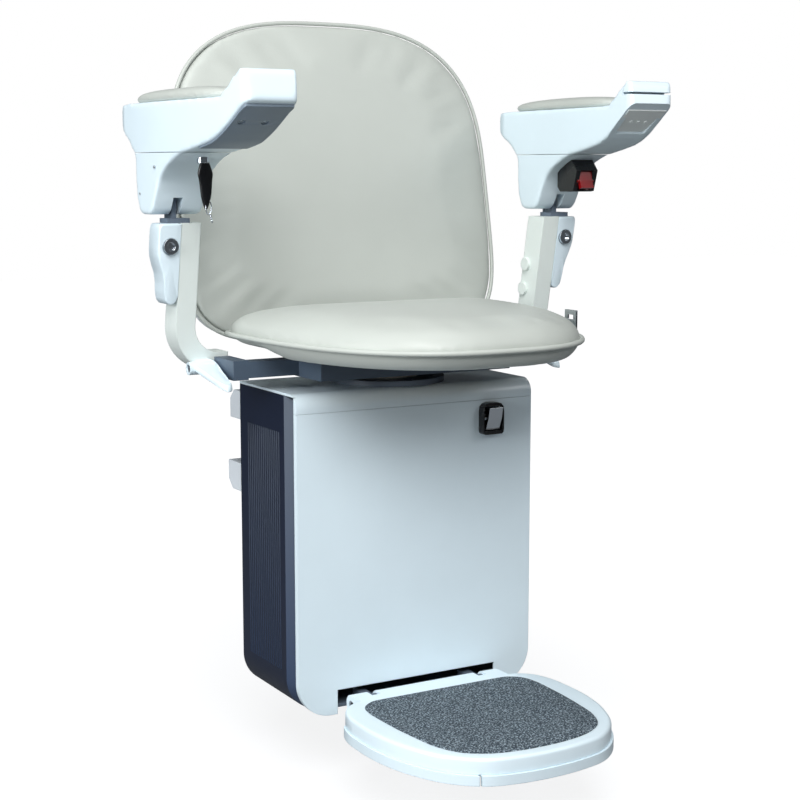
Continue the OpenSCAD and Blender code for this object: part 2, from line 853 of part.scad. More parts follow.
// Paddle that a hand lifts to free the swivel: it dips to the front
lever_plan_shares = [[-0.9, 0], [-0.98, 0.45], [-0.8, 0.86], [-0.35, 1], [0.35, 1], [0.78, 0.88], [0.9, 0.45],
    [0.5, 0.12], [0.5, 0]];
module swivel_lever_right() {
    half = (lever_x1 - lever_x0) / 2;
    mid_x = lever_x0 + half;
    color("white") difference() {
        union() {
            translate([mid_x, lever_y, lever_z]) rotate([lever_dip, 0, 0])
                translate([0, 0, lever_lift - lever_t / 2]) linear_extrude(height = lever_t)
                    polygon([for (s = lever_plan_shares) [-s[0] * half, -s[1] * lever_reach]]);
            bar_x([lever_x0, lever_y, lever_z], lever_hub_r, lever_x1 - lever_x0);
        }
        bar_x([lever_x0 - over, lever_y, lever_z], rod_r + run, lever_x1 - lever_x0);
    }
}

module swivel_lever_left() { mirror([1, 0, 0]) swivel_lever_right(); }

module lock_pin() {
    low = cap_top + index_t + gap;
    color("silver") {
        bar_z([pin_x, pin_y, low], pin_r, bridge_z + bridge_t + over - low);
        bar_z([pin_x, pin_y, collar_z], collar_r, collar_t);
    }
}

// Compression spring: one wire swept along a helix between the collar and the bridge
spring_sides = 6;
spring_steps = 16;
module lock_spring() {
    low = collar_z + collar_t + spring_wire_r + gap;
    rise = bridge_z - spring_wire_r - gap - low;
    n = spring_turns * spring_steps;
    m = spring_sides;
    points = [for (i = [0 : n]) for (j = [0 : m - 1])
        let (a = turn * i / spring_steps, b = turn * j / m, r = spring_r + spring_wire_r * cos(b))
            [r * cos(a), r * sin(a), low + rise * i / n + spring_wire_r * sin(b)]];
    skin = [for (i = [0 : n - 1]) for (j = [0 : m - 1]) let (a = i * m + j, b = i * m + (j + 1) % m)
        for (f = [[a, a + m, b], [b, a + m, b + m]]) f];
    ends = [for (j = [1 : m - 2]) for (f = [[0, j, j + 1], [n * m, n * m + j + 1, n * m + j]]) f];
    color("silver") translate([pin_x, pin_y, 0]) polyhedron(points, concat(skin, ends));
}

// A closed skin through rings of points, from the lowest to the highest
module ring_skin(rings, low_mid, high_mid) {
    n = len(rings[0]);
    m = len(rings);
    points = concat([for (r = rings) for (p = r) p], [low_mid, high_mid]);
    sides = [for (k = [0 : m - 2]) for (i = [0 : n - 1]) let (a = k * n + i, b = k * n + (i + 1) % n)
        for (f = [[a, a + n, b], [b, a + n, b + n]]) f];
    low = [for (i = [0 : n - 1]) [m * n, i, (i + 1) % n]];
    high = [for (i = [0 : n - 1]) [m * n + 1, (m - 1) * n + (i + 1) % n, (m - 1) * n + i]];
    polyhedron(points, concat(sides, low, high));
}

// A superellipse quarter's coordinate
function power(v, p) = sign(v) * pow(abs(v), 2 / p);

// Plan outline of the seat: a rounded front and a squarer rear
seat_wide_share = 0.08;
seat_wide_y = seat_rear - seat_wide_share * seat_d;
seat_front_power = 2.6;
seat_rear_power = 5;
seat_steps = 56;
function seat_edge(a) = let (p = sin(a) < 0 ? seat_front_power : seat_rear_power,
    reach = sin(a) < 0 ? seat_wide_y - seat_front : seat_rear - seat_wide_y)
    [seat_w / 2 * power(cos(a), p), seat_wide_y + reach * power(sin(a), p)];
function seat_half(y) = let (t = (seat_wide_y - y) / (seat_wide_y - seat_front))
    seat_w / 2 * pow(1 - pow(t, seat_front_power), 1 / seat_front_power);
function seat_point(a, s) = let (e = seat_edge(a)) [s * e[0], seat_mid_y + s * (e[1] - seat_mid_y)];
function seat_outline(s) = [for (i = [0 : seat_steps - 1]) seat_point(turn * i / seat_steps, s)];
function board_outline(s) =
    [for (i = [0 : seat_steps - 1]) seat_point(turn * (i + board_turn_share) / seat_steps, s)];
function seat_ring(s, z) = [for (p = seat_outline(s)) [p[0], p[1], z]];

// Each ring: its share of the outline, and its height as a share of the band or crown
seat_band_shares = [[0.93, 0], [0.97, 0.29], [0.993, 0.65], [1, 1]];
seat_crown_shares = [[0.985, 0.17], [0.93, 0.44], [0.83, 0.69], [0.65, 0.86], [0.45, 0.95], [0.22, 0.99]];
// The board's points lie between the cushion's
board_turn_share = 0.5;
board_share = 1 - 2 * board_inset / seat_w;
board_gap_share = board_share + 2 * gap / seat_w;
module seat_cushion() {
    rings = concat([for (s = seat_band_shares) seat_ring(s[0], cushion_low + s[1] * band_h)],
        [for (s = seat_crown_shares) seat_ring(s[0], seam_h + s[1] * crown_h)]);
    color("silver") difference() {
        ring_skin(rings, [0, seat_mid_y, cushion_low], [0, seat_mid_y, seam_h + crown_h]);
        translate([0, 0, cushion_low - over]) linear_extrude(height = board_thick + gap + over)
            polygon(board_outline(board_gap_share));
        block([-pocket_w / 2, pocket_front, cushion_low - over], [pocket_w / 2, over, pocket_top]);
    }
}

// Board under the cushion, with two arms that reach back to the hinge
module seat_board() {
    barrel_x = ear_x - gap - barrel_l;
    color("dimgray") difference() {
        union() {
            difference() {
                translate([0, 0, cushion_low]) linear_extrude(height = board_thick)
                    polygon(board_outline(board_share));
                block([-seat_w, pocket_front, cushion_low - over], [seat_w, over, pocket_top]);
            }
            both_sides() {
                bar_x([barrel_x, fold_y, fold_z], ear_r, barrel_l);
                block([barrel_x, pocket_front - barrel_l, cushion_low],
                      [ear_x - gap, fold_y, cushion_low + board_thick]);
            }
        }
        bar_x([-ear_x, fold_y, fold_z], fold_r + run, 2 * ear_x);
    }
}

module seat_hinge_pin() {
    color("silver") bar_x([-ear_x - ear_t, fold_y, fold_z], fold_r, 2 * ear_x + 2 * ear_t);
}

// Belt anchor: a strap under the board that turns up beside the cushion, with a slot for the belt
module belt_anchor() {
    x0 = frame_w / 2 + anchor_lap;
    y0 = anchor_y - anchor_w / 2;
    y1 = anchor_y + anchor_w / 2;
    x1 = seat_half(y1) + anchor_clear;
    z = cushion_low - anchor_t;
    top = cushion_low + anchor_h;
    color("silver") difference() {
        union() {
            block([x0, y0, z], [x1 + anchor_t, y1, cushion_low]);
            block([x1, y0, z], [x1 + anchor_t, y1, top]);
        }
        block([x1 - over, y0 + anchor_slot, top - 2 * anchor_slot],
              [x1 + anchor_t + over, y1 - anchor_slot, top - anchor_slot]);
    }
}

// Front line of an upright
function upright_front(z) = pivot_y - upright_lead + lean_slope * (upright_top - z);
bolt_face = upright_front(bolt_z) - cover_ahead;

// A band that leans with the upright, between two heights
module lean_band(x0, x1, ahead, depth, z0, z1) {
    side_extrude(x0, x1, [[upright_front(z0) - ahead, z0], [upright_front(z0) - ahead + depth, z0],
        [upright_front(z1) - ahead + depth, z1], [upright_front(z1) - ahead, z1]]);
}

// A front-view shape pushed through the whole depth
module front_extrude() {
    translate([0, carriage_d, 0]) rotate([90, 0, 0]) linear_extrude(height = 2 * carriage_d) children();
}

// Two uprights that turn in under the seat and rest on the side brackets
module arm_frame() {
    mid_x = upright_out - bend_out_r;
    color("ivory") both_sides() intersection() {
        lean_band(side_x, arms_w, 0, upright_d, stub_low, upright_top);
        front_extrude() {
            intersection() {
                difference() {
                    translate([mid_x, bend_z]) circle(r = bend_out_r, $fn = fine);
                    translate([mid_x, bend_z]) circle(r = bend_out_r - upright_t, $fn = fine);
                }
                translate([mid_x, bend_z - bend_out_r - over]) square([bend_out_r + over, bend_out_r + over]);
            }
            translate([upright_in, bend_z - over]) square([upright_t, upright_top - bend_z + 2 * over]);
            translate([side_x, bend_z - bend_out_r]) square([mid_x - side_x + over, upright_t]);
        }
    }
}

// Round caps over the screws on the uprights' inner faces
module upright_caps() {
    color("ivory") both_sides() for (h = cap_drops) let (z = upright_top - h)
        bar_x([upright_in - cap_t, upright_front(z) + upright_d * cap_depth_share, z], cap_r, cap_t);
}

// Moulded covers on the uprights' outer faces, from a wide head to a narrow rounded foot
cover_shares = [[0, 1], [1, 1], [1, 0.63], [0.75, 0.36], [0.57, 0.14], [0.46, 0.04], [0.28, 0],
    [0.06, 0.04], [0, 0.1]];
module hinge_covers() {
    pocket = pivot_plate_t + 3 * gap;
    color("white") both_sides() difference() {
        intersection() {
            lean_band(upright_out, arms_w, cover_ahead, cover_d, upright_top - cover_h - over, upright_top);
            front_extrude() polygon([for (s = cover_shares)
                [upright_out + gap + s[0] * (cover_t - gap), upright_top - gap - (1 - s[1]) * cover_h]]);
        }
        block([upright_out - over, -carriage_d, upright_top - pivot_plate_low - gap],
              [upright_out + pocket, carriage_d, upright_top + over]);
        bar_y([bolt_x, bolt_face - bolt_l, bolt_z], bolt_r + gap, bolt_l + bolt_sink);
        bar_y([bolt_x, bolt_face, bolt_z], bolt_shank_r + run, bolt_l);
    }
}

module hinge_bolts() {
    color("silver") both_sides() difference() {
        union() {
            bar_y([bolt_x, bolt_face - bolt_proud, bolt_z], bolt_r, bolt_proud + bolt_sink);
            bar_y([bolt_x, bolt_face, bolt_z], bolt_shank_r, bolt_l);
        }
        bar_y([bolt_x, bolt_face - bolt_proud - over, bolt_z], bolt_socket_r, bolt_sink + over);
    }
}

// Steel plates on the uprights' outer faces, which carry the pivot pins of the arms
module arm_pivot_brackets() {
    x0 = upright_out + gap;
    low = upright_top - pivot_plate_low;
    half = pivot_plate_w / 2;
    foot_y = upright_front(low) + half / 2;
    block_y = upright_front(upright_top) + pivot_block_set;
    color("dimgray") both_sides() difference() {
        union() {
            side_extrude(x0, x0 + pivot_plate_t, [[pivot_y - half, pivot_z], [foot_y, low],
                [foot_y + 2 * half, low], [pivot_y + half, pivot_z]]);
            bar_x([x0, pivot_y, pivot_z], half, pivot_plate_t);
            block([upright_in + pivot_block_in, block_y, upright_top],
                  [upright_out + cover_t - 2 * pivot_block_h, block_y + 2 * half, upright_top + pivot_block_h]);
        }
        bar_x([x0 - over, pivot_y, pivot_z], pivot_pin_r + run, pivot_plate_t + 2 * over);
    }
}

module arm_pivot_pins() {
    mid_x = upright_out + pivot_plate_t / 2;
    color("silver") both_sides() bar_x([mid_x - pin_half_l, pivot_y, pivot_z], pivot_pin_r, 2 * pin_half_l);
}

// Backrest, built flat with its length along Y and its front towards +Z, then leaned back
back_mid = back_l * 0.51;
back_top_power = 2.9;
back_low_power = 5.6;
back_steps = 60;
module leaned() {
    translate([0, back_y0, back_z0]) rotate([90 - back_lean, 0, 0]) children();
}
function back_point(a, s) = let (p = sin(a) < 0 ? back_low_power : back_top_power,
    reach = sin(a) < 0 ? back_mid : back_l - back_mid)
    [s * back_w / 2 * power(cos(a), p), back_mid + s * reach * power(sin(a), p)];
function back_outline(s) = [for (i = [0 : back_steps - 1]) back_point(turn * i / back_steps, s)];
function back_ring(s, z) = [for (p = back_outline(s)) [p[0], p[1], z]];
back_side_shares = [[0.965, 0], [0.985, 0.3], [1, 1]];
back_crown_shares = [[0.985, 0.3], [0.95, 0.55], [0.86, 0.78], [0.7, 0.91], [0.45, 0.98]];
module backrest_cushion() {
    rings = concat([for (s = back_side_shares) back_ring(s[0], (s[1] - 1) * back_t)],
        [for (s = back_crown_shares) back_ring(s[0], s[1] * back_crown)]);
    color("silver") leaned() ring_skin(rings, [0, back_mid, -back_t], [0, back_mid, back_crown]);
}

module backrest_shell() {
    color("gainsboro") leaned() translate([0, 0, -back_t - shell_t])
        linear_extrude(height = shell_t) polygon(back_outline(shell_share));
}

// Two flat steel bars from the seat frame, back under the cushion and up behind the shell
function post_line(z) = back_y0 + (back_t + shell_t) / cos(back_lean) + (z - back_z0) * tan(back_lean);
module backrest_bracket() {
    top = back_z0 + post_share * back_l;
    heel = post_low + post_t;
    color("dimgray") both_sides() side_extrude(post_x - post_w / 2, post_x + post_w / 2,
        [[frame_rear, post_low], [post_line(post_low) + post_t, post_low], [post_line(top) + post_t, top],
         [post_line(top), top], [post_line(heel), heel], [frame_rear, heel]]);
}

// Arm outlines: shares of its length from the rear, and of its rise above or drop below the seam
arm_shell_shares = [[0.159, 0], [0.14, 0.04], [0.088, 0.2], [0.04, 0.29], [0.012, 0.38], [0, 0.49],
    [0.01, 0.58], [0.035, 0.64], [0.07, 0.67], [0.805, 0.67], [0.84, 0.72], [0.9, 0.86],
    [0.945, 0.965], [0.965, 0.997], [0.975, 0.99], [0.983, 0.95],
    [1, 0.62], [0.993, 0.59], [0.979, 0.57], [0.94, 0.489], [0.902, 0.398],
    [0.862, 0.307], [0.815, 0.216], [0.75, 0.125], [0.65, 0.053], [0.556, 0]];
arm_housing_shares = [[0.159, 0], [0.556, 0], [0.476, -0.123], [0.419, -0.26], [0.38, -0.397], [0.35, -0.603],
    [0.323, -0.836], [0.289, -1], [0.217, -1], [0.196, -0.96], [0.174, -0.753], [0.167, -0.493],
    [0.169, -0.26], [0.16, -0.055]];
// Half widths from the arm's middle line, which toes in towards the nose, and shares of the length
arm_plan_shares = [[-1, 0.06], [-1, 0.2], [-1, 0.4], [-1, 0.55], [-1, 0.7], [-1, 0.82], [-1, 0.9],
    [-1, 0.968], [-0.93, 0.99], [-0.76, 1], [0.76, 1], [0.93, 0.99], [1, 0.968],
    [1, 0.9], [1, 0.82], [1, 0.7], [1, 0.55],
    [1, 0.4], [1, 0.2], [1, 0.06], [0.9, 0.018], [0.68, 0], [-0.68, 0], [-0.9, 0.018]];
function arm_mid(share) = let (t = max(0, share - arm_toe_from_share) / (1 - arm_toe_from_share))
    arm_x - arm_toe * pow(t, arm_toe_power);
function arm_y(share) = arm_rear - share * arm_len;
function arm_side(shares, rise) = [for (s = shares) [arm_y(s[0]), arm_seam + s[1] * rise]];
function arm_plan() = [for (s = arm_plan_shares) [arm_mid(s[1]) + s[0] * arm_w / 2, arm_y(s[1])]];

// What lies within a side outline and the arm's plan, both drawn in by an inset
module arm_form(side, inset) {
    intersection() {
        side_extrude(nose_in - over, arms_w / 2 + over, inset_points(side, inset));
        translate([0, 0, arm_seam - arm_len]) linear_extrude(height = 2 * arm_len)
            polygon(inset_points(arm_plan(), inset));
    }
}

// The opening between the two halves of an arm
seam_window_shares = [0.25, 0.46];
module seam_window() {
    block([arm_in + window_wall, arm_y(seam_window_shares[1]), arm_seam - window_wall],
          [arms_w / 2 - window_wall, arm_y(seam_window_shares[0]), arm_seam + window_wall]);
}

module arm_shell_form() {
    side = arm_side(arm_shell_shares, arm_rise);
    difference() {
        arm_form(side, 0);
        arm_form(side, shell_wall);
        seam_window();
    }
}

// Lower half of an arm, with the slot for the pivot plate and a boss on each side of it
module arm_housing_form() {
    side = arm_side(arm_housing_shares, arm_housing_h);
    slot_in = upright_out + gap - slot_clear;
    slot_out = upright_out + gap + pivot_plate_t + slot_clear;
    low = arm_seam - arm_housing_h - over;
    boss_out = upright_out + pivot_plate_t + 3 * gap;
    difference() {
        union() {
            difference() {
                arm_form(side, 0);
                arm_form(side, shell_wall);
                seam_window();
                block([slot_in, -arm_len, low], [slot_out, arm_len, pivot_z - slot_drop]);
                block([slot_in, pivot_y, low], [slot_out, arm_len, pivot_z + slot_drop]);
            }
            intersection() {
                arm_form(side, over);
                union() {
                    bar_x([arm_in, pivot_y, pivot_z], pivot_boss_r, upright_out - gap - arm_in);
                    bar_x([boss_out, pivot_y, pivot_z], pivot_boss_r, arms_w / 2 - boss_out);
                }
            }
        }
        bar_x([arm_in + shell_wall, pivot_y, pivot_z], pivot_pin_r + run, arm_w - 2 * shell_wall);
    }
}

// Padded top of an arm
arm_pad_steps = 40;
arm_pad_power = 3.4;
arm_pad_shares = [[0.96, 0], [1, 0.3], [0.98, 0.5], [0.9, 0.72], [0.72, 0.9], [0.4, 0.98]];
function arm_pad_point(a, s) = let (y = (pad_y0 + pad_y1) / 2 + s * pad_l / 2 * power(sin(a), arm_pad_power))
    [arm_mid((arm_rear - y) / arm_len) + s * pad_w / 2 * power(cos(a), arm_pad_power), y];
function arm_pad_ring(s, z) = [for (i = [0 : arm_pad_steps - 1])
    let (p = arm_pad_point(turn * i / arm_pad_steps, s)) [p[0], p[1], z]];
module arm_pad_form() {
    low = arm_seam + arm_flat_share * arm_rise;
    mid_y = (pad_y0 + pad_y1) / 2;
    mid = [arm_mid((arm_rear - mid_y) / arm_len), mid_y, low];
    ring_skin([for (s = arm_pad_shares) arm_pad_ring(s[0], low + s[1] * pad_h)], mid, mid + [0, 0, pad_h]);
}

module arm_pad_right() { color("silver") arm_pad_form(); }
module arm_pad_left() { color("silver") mirror([1, 0, 0]) arm_pad_form(); }

// Cover plate under the nose of the left arm, along the sloping underside, with two screw recesses
nose_plate_shares = [[0.67, 0.067], [0.75, 0.125], [0.815, 0.216], [0.862, 0.307], [0.902, 0.398],
    [0.94, 0.489], [0.979, 0.57], [0.988, 0.582]];
nose_plate_t = 2.5;
nose_plate_inset = 1.6;
nose_screw_r = 4;
nose_screw_depth = 6;
nose_screw_share = [0.89, 0.371];
nose_screw_x = 14;
nose_slope = 30;
module nose_plate_form() {
    top = arm_side(nose_plate_shares, arm_rise);
    n = len(top);
    low = [for (i = [n - 1 : -1 : 0]) [top[i][0], top[i][1] - nose_plate_t]];
    screw = [arm_y(nose_screw_share[0]), arm_seam + nose_screw_share[1] * arm_rise];
    difference() {
        intersection() {
            side_extrude(nose_in, arms_w / 2, concat(top, low));
            translate([0, 0, arm_seam - over]) linear_extrude(height = arm_rise)
                polygon(inset_points(arm_plan(), nose_plate_inset));
        }
        for (x = [-nose_screw_x, nose_screw_x])
            translate([arm_mid(nose_screw_share[0]) + x, screw[0], screw[1]]) rotate([-nose_slope, 0, 0])
                bar_z([0, 0, -nose_screw_depth], nose_screw_r, nose_screw_depth);
    }
}
module nose_plate() { color("slategray") mirror([1, 0, 0]) nose_plate_form(); }

// Key switch under the left arm
barrel_r = 7;
key_in = 23;
key_x = arm_in + key_in;
key_y = arm_y(0.49);
key_barrel_l = 12;
key_barrel_z1 = arm_seam - gap;
key_barrel_z0 = key_barrel_z1 - key_barrel_l;
key_r = 2.5;
key_hole_depth = 9;
module key_barrel() {
    color("silver") difference() {
        bar_z([-key_x, key_y, key_barrel_z0], barrel_r, key_barrel_l);
        bar_z([-key_x, key_y, key_barrel_z0 - over], key_r + run, key_hole_depth + over);
    }
}

// The key, its bow, a ring through the bow and a fob that hangs on the ring
key_bow_r = 10;
key_bow_t = 5;
key_bow_h = 25;
key_ring_r = 6;
key_ring_wire = 1;
fob_w = 14;
fob_h = 24;
fob_t = 4;
module key() {
    z0 = key_barrel_z0 - gap;
    bow = z0 - key_bow_h;
    ring = bow - key_ring_r / 2;
    fob = ring - key_ring_r - fob_h;
    color("black") translate([-key_x, key_y, 0]) {
        union() {
            bar_z([0, 0, z0 - key_bow_r], key_r, key_bow_r + key_hole_depth);
            bar_y([0, -key_bow_t / 2, z0 - key_bow_r], key_bow_r, key_bow_t);
            bar_y([0, -key_bow_t / 2, bow + key_bow_r / 2], key_bow_r / 2, key_bow_t);
            block([-key_bow_r / 2, -key_bow_t / 2, bow + key_bow_r / 2],
                  [key_bow_r / 2, key_bow_t / 2, z0 - key_bow_r]);
            translate([0, 0, ring]) rotate([0, 90, 0]) rotate_extrude($fn = fine)
                translate([key_ring_r, 0]) circle(r = key_ring_wire, $fn = coarse);
            block([-fob_w / 2, -fob_t / 2, fob], [fob_w / 2, fob_t / 2, fob + fob_h]);
            bar_y([0, -fob_t / 2, fob + fob_h], fob_w / 2, fob_t);
        }
    }
}

module arm_shell_left() { color("white") mirror([1, 0, 0]) arm_shell_form(); }
module arm_housing_left() {
    color("white") difference() {
        mirror([1, 0, 0]) arm_housing_form();
        bar_z([-key_x, key_y, key_barrel_z0 - over], barrel_r + run, 2 * key_barrel_l);
    }
}

// Direction toggle across the nose of the right arm, on a pivot that runs from front to rear
toggle_h = 14;
toggle_gap = 2.6;
toggle_rear = arm_y(0.935);
toggle_low = arm_seam + arm_rise - toggle_h;
toggle_y = arm_y(0.957);
toggle_x = arm_mid(0.957);
toggle_stem_w = 12;
toggle_stem_t = 5;
toggle_pivot_r = 2.5;
toggle_pivot_drop = 10;
toggle_pivot_z = toggle_low - toggle_pivot_drop;
toggle_pivot_l = 12;
module direction_toggle() {
    side = arm_side(arm_shell_shares, arm_rise);
    color("white") {
        intersection() {
            arm_form(side, 0);
            block([nose_in, toggle_rear - arm_len, toggle_low],
                  [arms_w / 2, toggle_rear - gap, arm_seam + arm_len]);
        }
        block([toggle_x - toggle_stem_w / 2, toggle_y - toggle_stem_t / 2, toggle_pivot_z],
              [toggle_x + toggle_stem_w / 2, toggle_y + toggle_stem_t / 2, toggle_low + over]);
        bar_y([toggle_x, toggle_y - toggle_pivot_l / 2, toggle_pivot_z], toggle_pivot_r, toggle_pivot_l);
    }
}

// Window in the sloping underside of the right arm's nose, where the control pod shows
window_shares = [0.847, 0.955];
window_x = arm_mid((window_shares[0] + window_shares[1]) / 2);
window_inset = 10;
window_half = arm_w / 2 - window_inset;
under_share = 0.216;
under_from_share = 0.815;
under_rate = 2.2;
function under_z(share) = arm_seam + (under_share + (share - under_from_share) * under_rate) * arm_rise;
module pod_window() {
    block([window_x - window_half, arm_y(window_shares[1]), arm_seam],
          [window_x + window_half, arm_y(window_shares[0]), under_z(window_shares[1]) + 2 * shell_wall]);
}

// What lies in front of the toggle's rear edge, above a height
module toggle_space(rear, low) {
    block([nose_in - over, rear - arm_len, low], [arms_w / 2 + over, rear, arm_seam + arm_len]);
}

module arm_shell_right() {
    side = arm_side(arm_shell_shares, arm_rise);
    ledge = toggle_low - toggle_gap;
    half_l = toggle_pivot_l / 2;
    slot_w = toggle_stem_w / 2 + toggle_gap;
    slot_t = toggle_stem_t / 2 + gap;
    low = toggle_pivot_z - 2 * toggle_pivot_r;
    color("white") difference() {
        union() {
            difference() {
                arm_form(side, 0);
                difference() {
                    arm_form(side, shell_wall);
                    toggle_space(toggle_rear + shell_wall, ledge - shell_wall);
                }
                seam_window();
                pod_window();
            }
            block([toggle_x - toggle_stem_w, toggle_y - half_l, low],
                  [toggle_x + toggle_stem_w, toggle_y + half_l, ledge]);
        }
        toggle_space(toggle_rear, ledge);
        block([toggle_x - slot_w, toggle_y - slot_t, low - over],
              [toggle_x + slot_w, toggle_y + slot_t, ledge + over]);
        bar_y([toggle_x, toggle_y - half_l - gap, toggle_pivot_z],
              toggle_pivot_r + run, toggle_pivot_l + over);
    }
}

// Grey control pod: a slab behind the window, with three buttons on its face
pod_shares = [0.825, 0.965];
pod_lap = 6;
pod_recess = 3.5;
pod_t = 6;
pod_slope = 30;
pod_button_r = 2.2;
pod_button_x = 11;
module control_pod() {
    mid = (window_shares[0] + window_shares[1]) / 2;
    ends = [for (u = pod_shares) [arm_y(u), under_z(u) + pod_recess]];
    color("darkgray") {
        intersection() {
            side_extrude(nose_in, window_x + window_half + pod_lap,
                concat(ends, [for (i = [1, 0]) ends[i] + [0, pod_t]]));
            arm_form(arm_side(arm_shell_shares, arm_rise), shell_wall + gap);
        }
        for (x = [-pod_button_x, 0, pod_button_x])
            translate([window_x + x, arm_y(mid), under_z(mid) + pod_recess]) rotate([-pod_slope, 0, 0])
                bar_z([0, 0, -over], pod_button_r, 2 * over);
    }
}

// Black switch box under the right arm, fitted to the housing's curve, with a stem into it
box_shift = 3;
box_x = arm_x - box_shift;
box_w = 34;
box_y0 = arm_y(0.53);
box_y1 = arm_y(0.4);
box_drop = 49;
box_z0 = arm_seam - box_drop;
box_h = 44;
box_edge = 6;
box_brow = 14;
box_brow_z = 28;
box_chin = 8;
box_stem_w = 10;
box_stem_h = 8;
box_stem_rise = 18;
box_stem_z = box_z0 + box_stem_rise;
box_stem_lap = 16;
box_stem_reach = 18;
box_stem_y0 = box_y1 - box_stem_lap;
box_stem_y1 = box_y1 + box_stem_reach;
rocker_tilt = 17;
rocker_back = 3;
rocker_sink = 4;
rocker_rise = 15;
rocker_y = box_y0 + rocker_sink;
rocker_z = box_z0 + rocker_rise;
rocker_w = 20;
rocker_half = 11;
rocker_proud = 3;
rocker_room = 9;
rocker_pin_r = 2.5;
rocker_pin_y = 2;
rocker_pin_l = 26;

// The rocker's place on the box's leaning front face
module at_rocker() {
    translate([box_x, rocker_y, rocker_z]) rotate([-rocker_tilt, 0, 0]) children();
}

module rocker_box() {
    hx = box_w / 2;
    hr = rocker_w / 2 + gap;
    color("black") difference() {
        union() {
            difference() {
                side_extrude(box_x - hx, box_x + hx, [[box_y1, box_z0 + box_edge], [box_y1, box_z0 + box_h],
                    [box_y0 + box_brow, box_z0 + box_h], [box_y0, box_z0 + box_brow_z],
                    [box_y0 + box_chin, box_z0 + over], [box_y0 + box_chin + box_edge, box_z0],
                    [box_y1 - box_edge, box_z0]]);
                arm_form(arm_side(arm_housing_shares, arm_housing_h), -gap);
            }
            block([box_x - box_stem_w / 2, box_stem_y0, box_stem_z],
                  [box_x + box_stem_w / 2, box_stem_y1, box_stem_z + box_stem_h]);
        }
        at_rocker() {
            block([-hr, -rocker_room, -rocker_half - gap], [hr, rocker_room, rocker_half + gap]);
            bar_x([-rocker_pin_l / 2 - over, rocker_pin_y, 0], rocker_pin_r + run, rocker_pin_l + 2 * over);
        }
    }
}

module rocker_switch() {
    hx = rocker_w / 2;
    color("red") at_rocker() {
        side_extrude(-hx, hx, [[rocker_back, -rocker_half], [rocker_back, rocker_half],
            [-rocker_proud, rocker_half], [-rocker_proud / 2, 0], [-rocker_proud, -rocker_half]]);
        bar_x([-rocker_pin_l / 2, rocker_pin_y, 0], rocker_pin_r, rocker_pin_l);
    }
}

module arm_housing_right() {
    hw = box_stem_w / 2 + gap;
    color("white") difference() {
        arm_housing_form();
        block([box_x - hw, box_stem_y0, box_stem_z - gap],
              [box_x + hw, box_stem_y1, box_stem_z + box_stem_h + gap]);
    }
}

chassis();
top_cap();
front_cover();
side_panel_left();
side_panel_right();
roller_brackets();
roller_axles();
roller_upper_left();
roller_upper_right();
roller_lower_left();
roller_lower_right();
wear_pad();
drive_motor();
gearbox();
drive_pinion();
batteries();
control_board();
isolator_bezel();
isolator_rocker();
footrest_rod();
footrest_plate();
footrest_mat();
skirt_left();
skirt_front();
skirt_right();
swivel_spindle();
index_plate();
swivel_bearing();
seat_frame();
lever_rod();
swivel_lever_left();
swivel_lever_right();
lock_pin();
lock_spring();
seat_hinge_pin();
seat_board();
seat_cushion();
belt_anchor();
arm_frame();
upright_caps();
hinge_covers();
hinge_bolts();
arm_pivot_brackets();
arm_pivot_pins();
backrest_bracket();
backrest_shell();
backrest_cushion();
arm_housing_left();
arm_shell_left();
arm_pad_left();
nose_plate();
key_barrel();
key();
arm_housing_right();
arm_shell_right();
arm_pad_right();
control_pod();
direction_toggle();
rocker_box();
rocker_switch();
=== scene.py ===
import json
import math

import bmesh
import bpy
import numpy as np
from mathutils import Matrix, Vector


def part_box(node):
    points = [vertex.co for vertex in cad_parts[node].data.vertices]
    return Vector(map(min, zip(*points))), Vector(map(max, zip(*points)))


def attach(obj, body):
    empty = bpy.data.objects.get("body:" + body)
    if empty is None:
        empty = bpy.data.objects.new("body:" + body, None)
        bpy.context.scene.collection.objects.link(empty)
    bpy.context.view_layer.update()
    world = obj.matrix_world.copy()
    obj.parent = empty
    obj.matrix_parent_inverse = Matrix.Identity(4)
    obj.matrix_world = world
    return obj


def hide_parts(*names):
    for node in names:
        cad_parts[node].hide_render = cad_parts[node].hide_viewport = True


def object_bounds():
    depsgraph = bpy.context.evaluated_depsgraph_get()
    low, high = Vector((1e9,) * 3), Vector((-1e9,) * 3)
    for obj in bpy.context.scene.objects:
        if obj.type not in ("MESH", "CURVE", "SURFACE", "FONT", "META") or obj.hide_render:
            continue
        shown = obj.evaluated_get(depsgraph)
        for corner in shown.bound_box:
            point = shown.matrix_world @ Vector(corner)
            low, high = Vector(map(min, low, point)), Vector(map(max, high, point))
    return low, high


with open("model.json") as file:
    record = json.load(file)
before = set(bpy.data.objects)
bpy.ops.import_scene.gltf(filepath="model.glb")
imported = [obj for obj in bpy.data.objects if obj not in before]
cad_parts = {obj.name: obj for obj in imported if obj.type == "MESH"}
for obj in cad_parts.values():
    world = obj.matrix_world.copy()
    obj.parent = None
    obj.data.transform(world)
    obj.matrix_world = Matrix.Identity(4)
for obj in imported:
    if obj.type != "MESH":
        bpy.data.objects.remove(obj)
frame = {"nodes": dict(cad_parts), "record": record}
CAD_BOX = [[float(c) for c in v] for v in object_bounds()]
MM = 0.001


# Colours and materials

def srgb(r, g, b):
    """A colour given in screen values, as the shader wants it."""
    def one(v):
        v /= 255
        return v / 12.92 if v <= 0.04045 else ((v + 0.055) / 1.055) ** 2.4
    return (one(r), one(g), one(b), 1.0)


def shade(colour, k):
    return tuple(min(c * k, 1.0) for c in colour[:3]) + (1.0,)


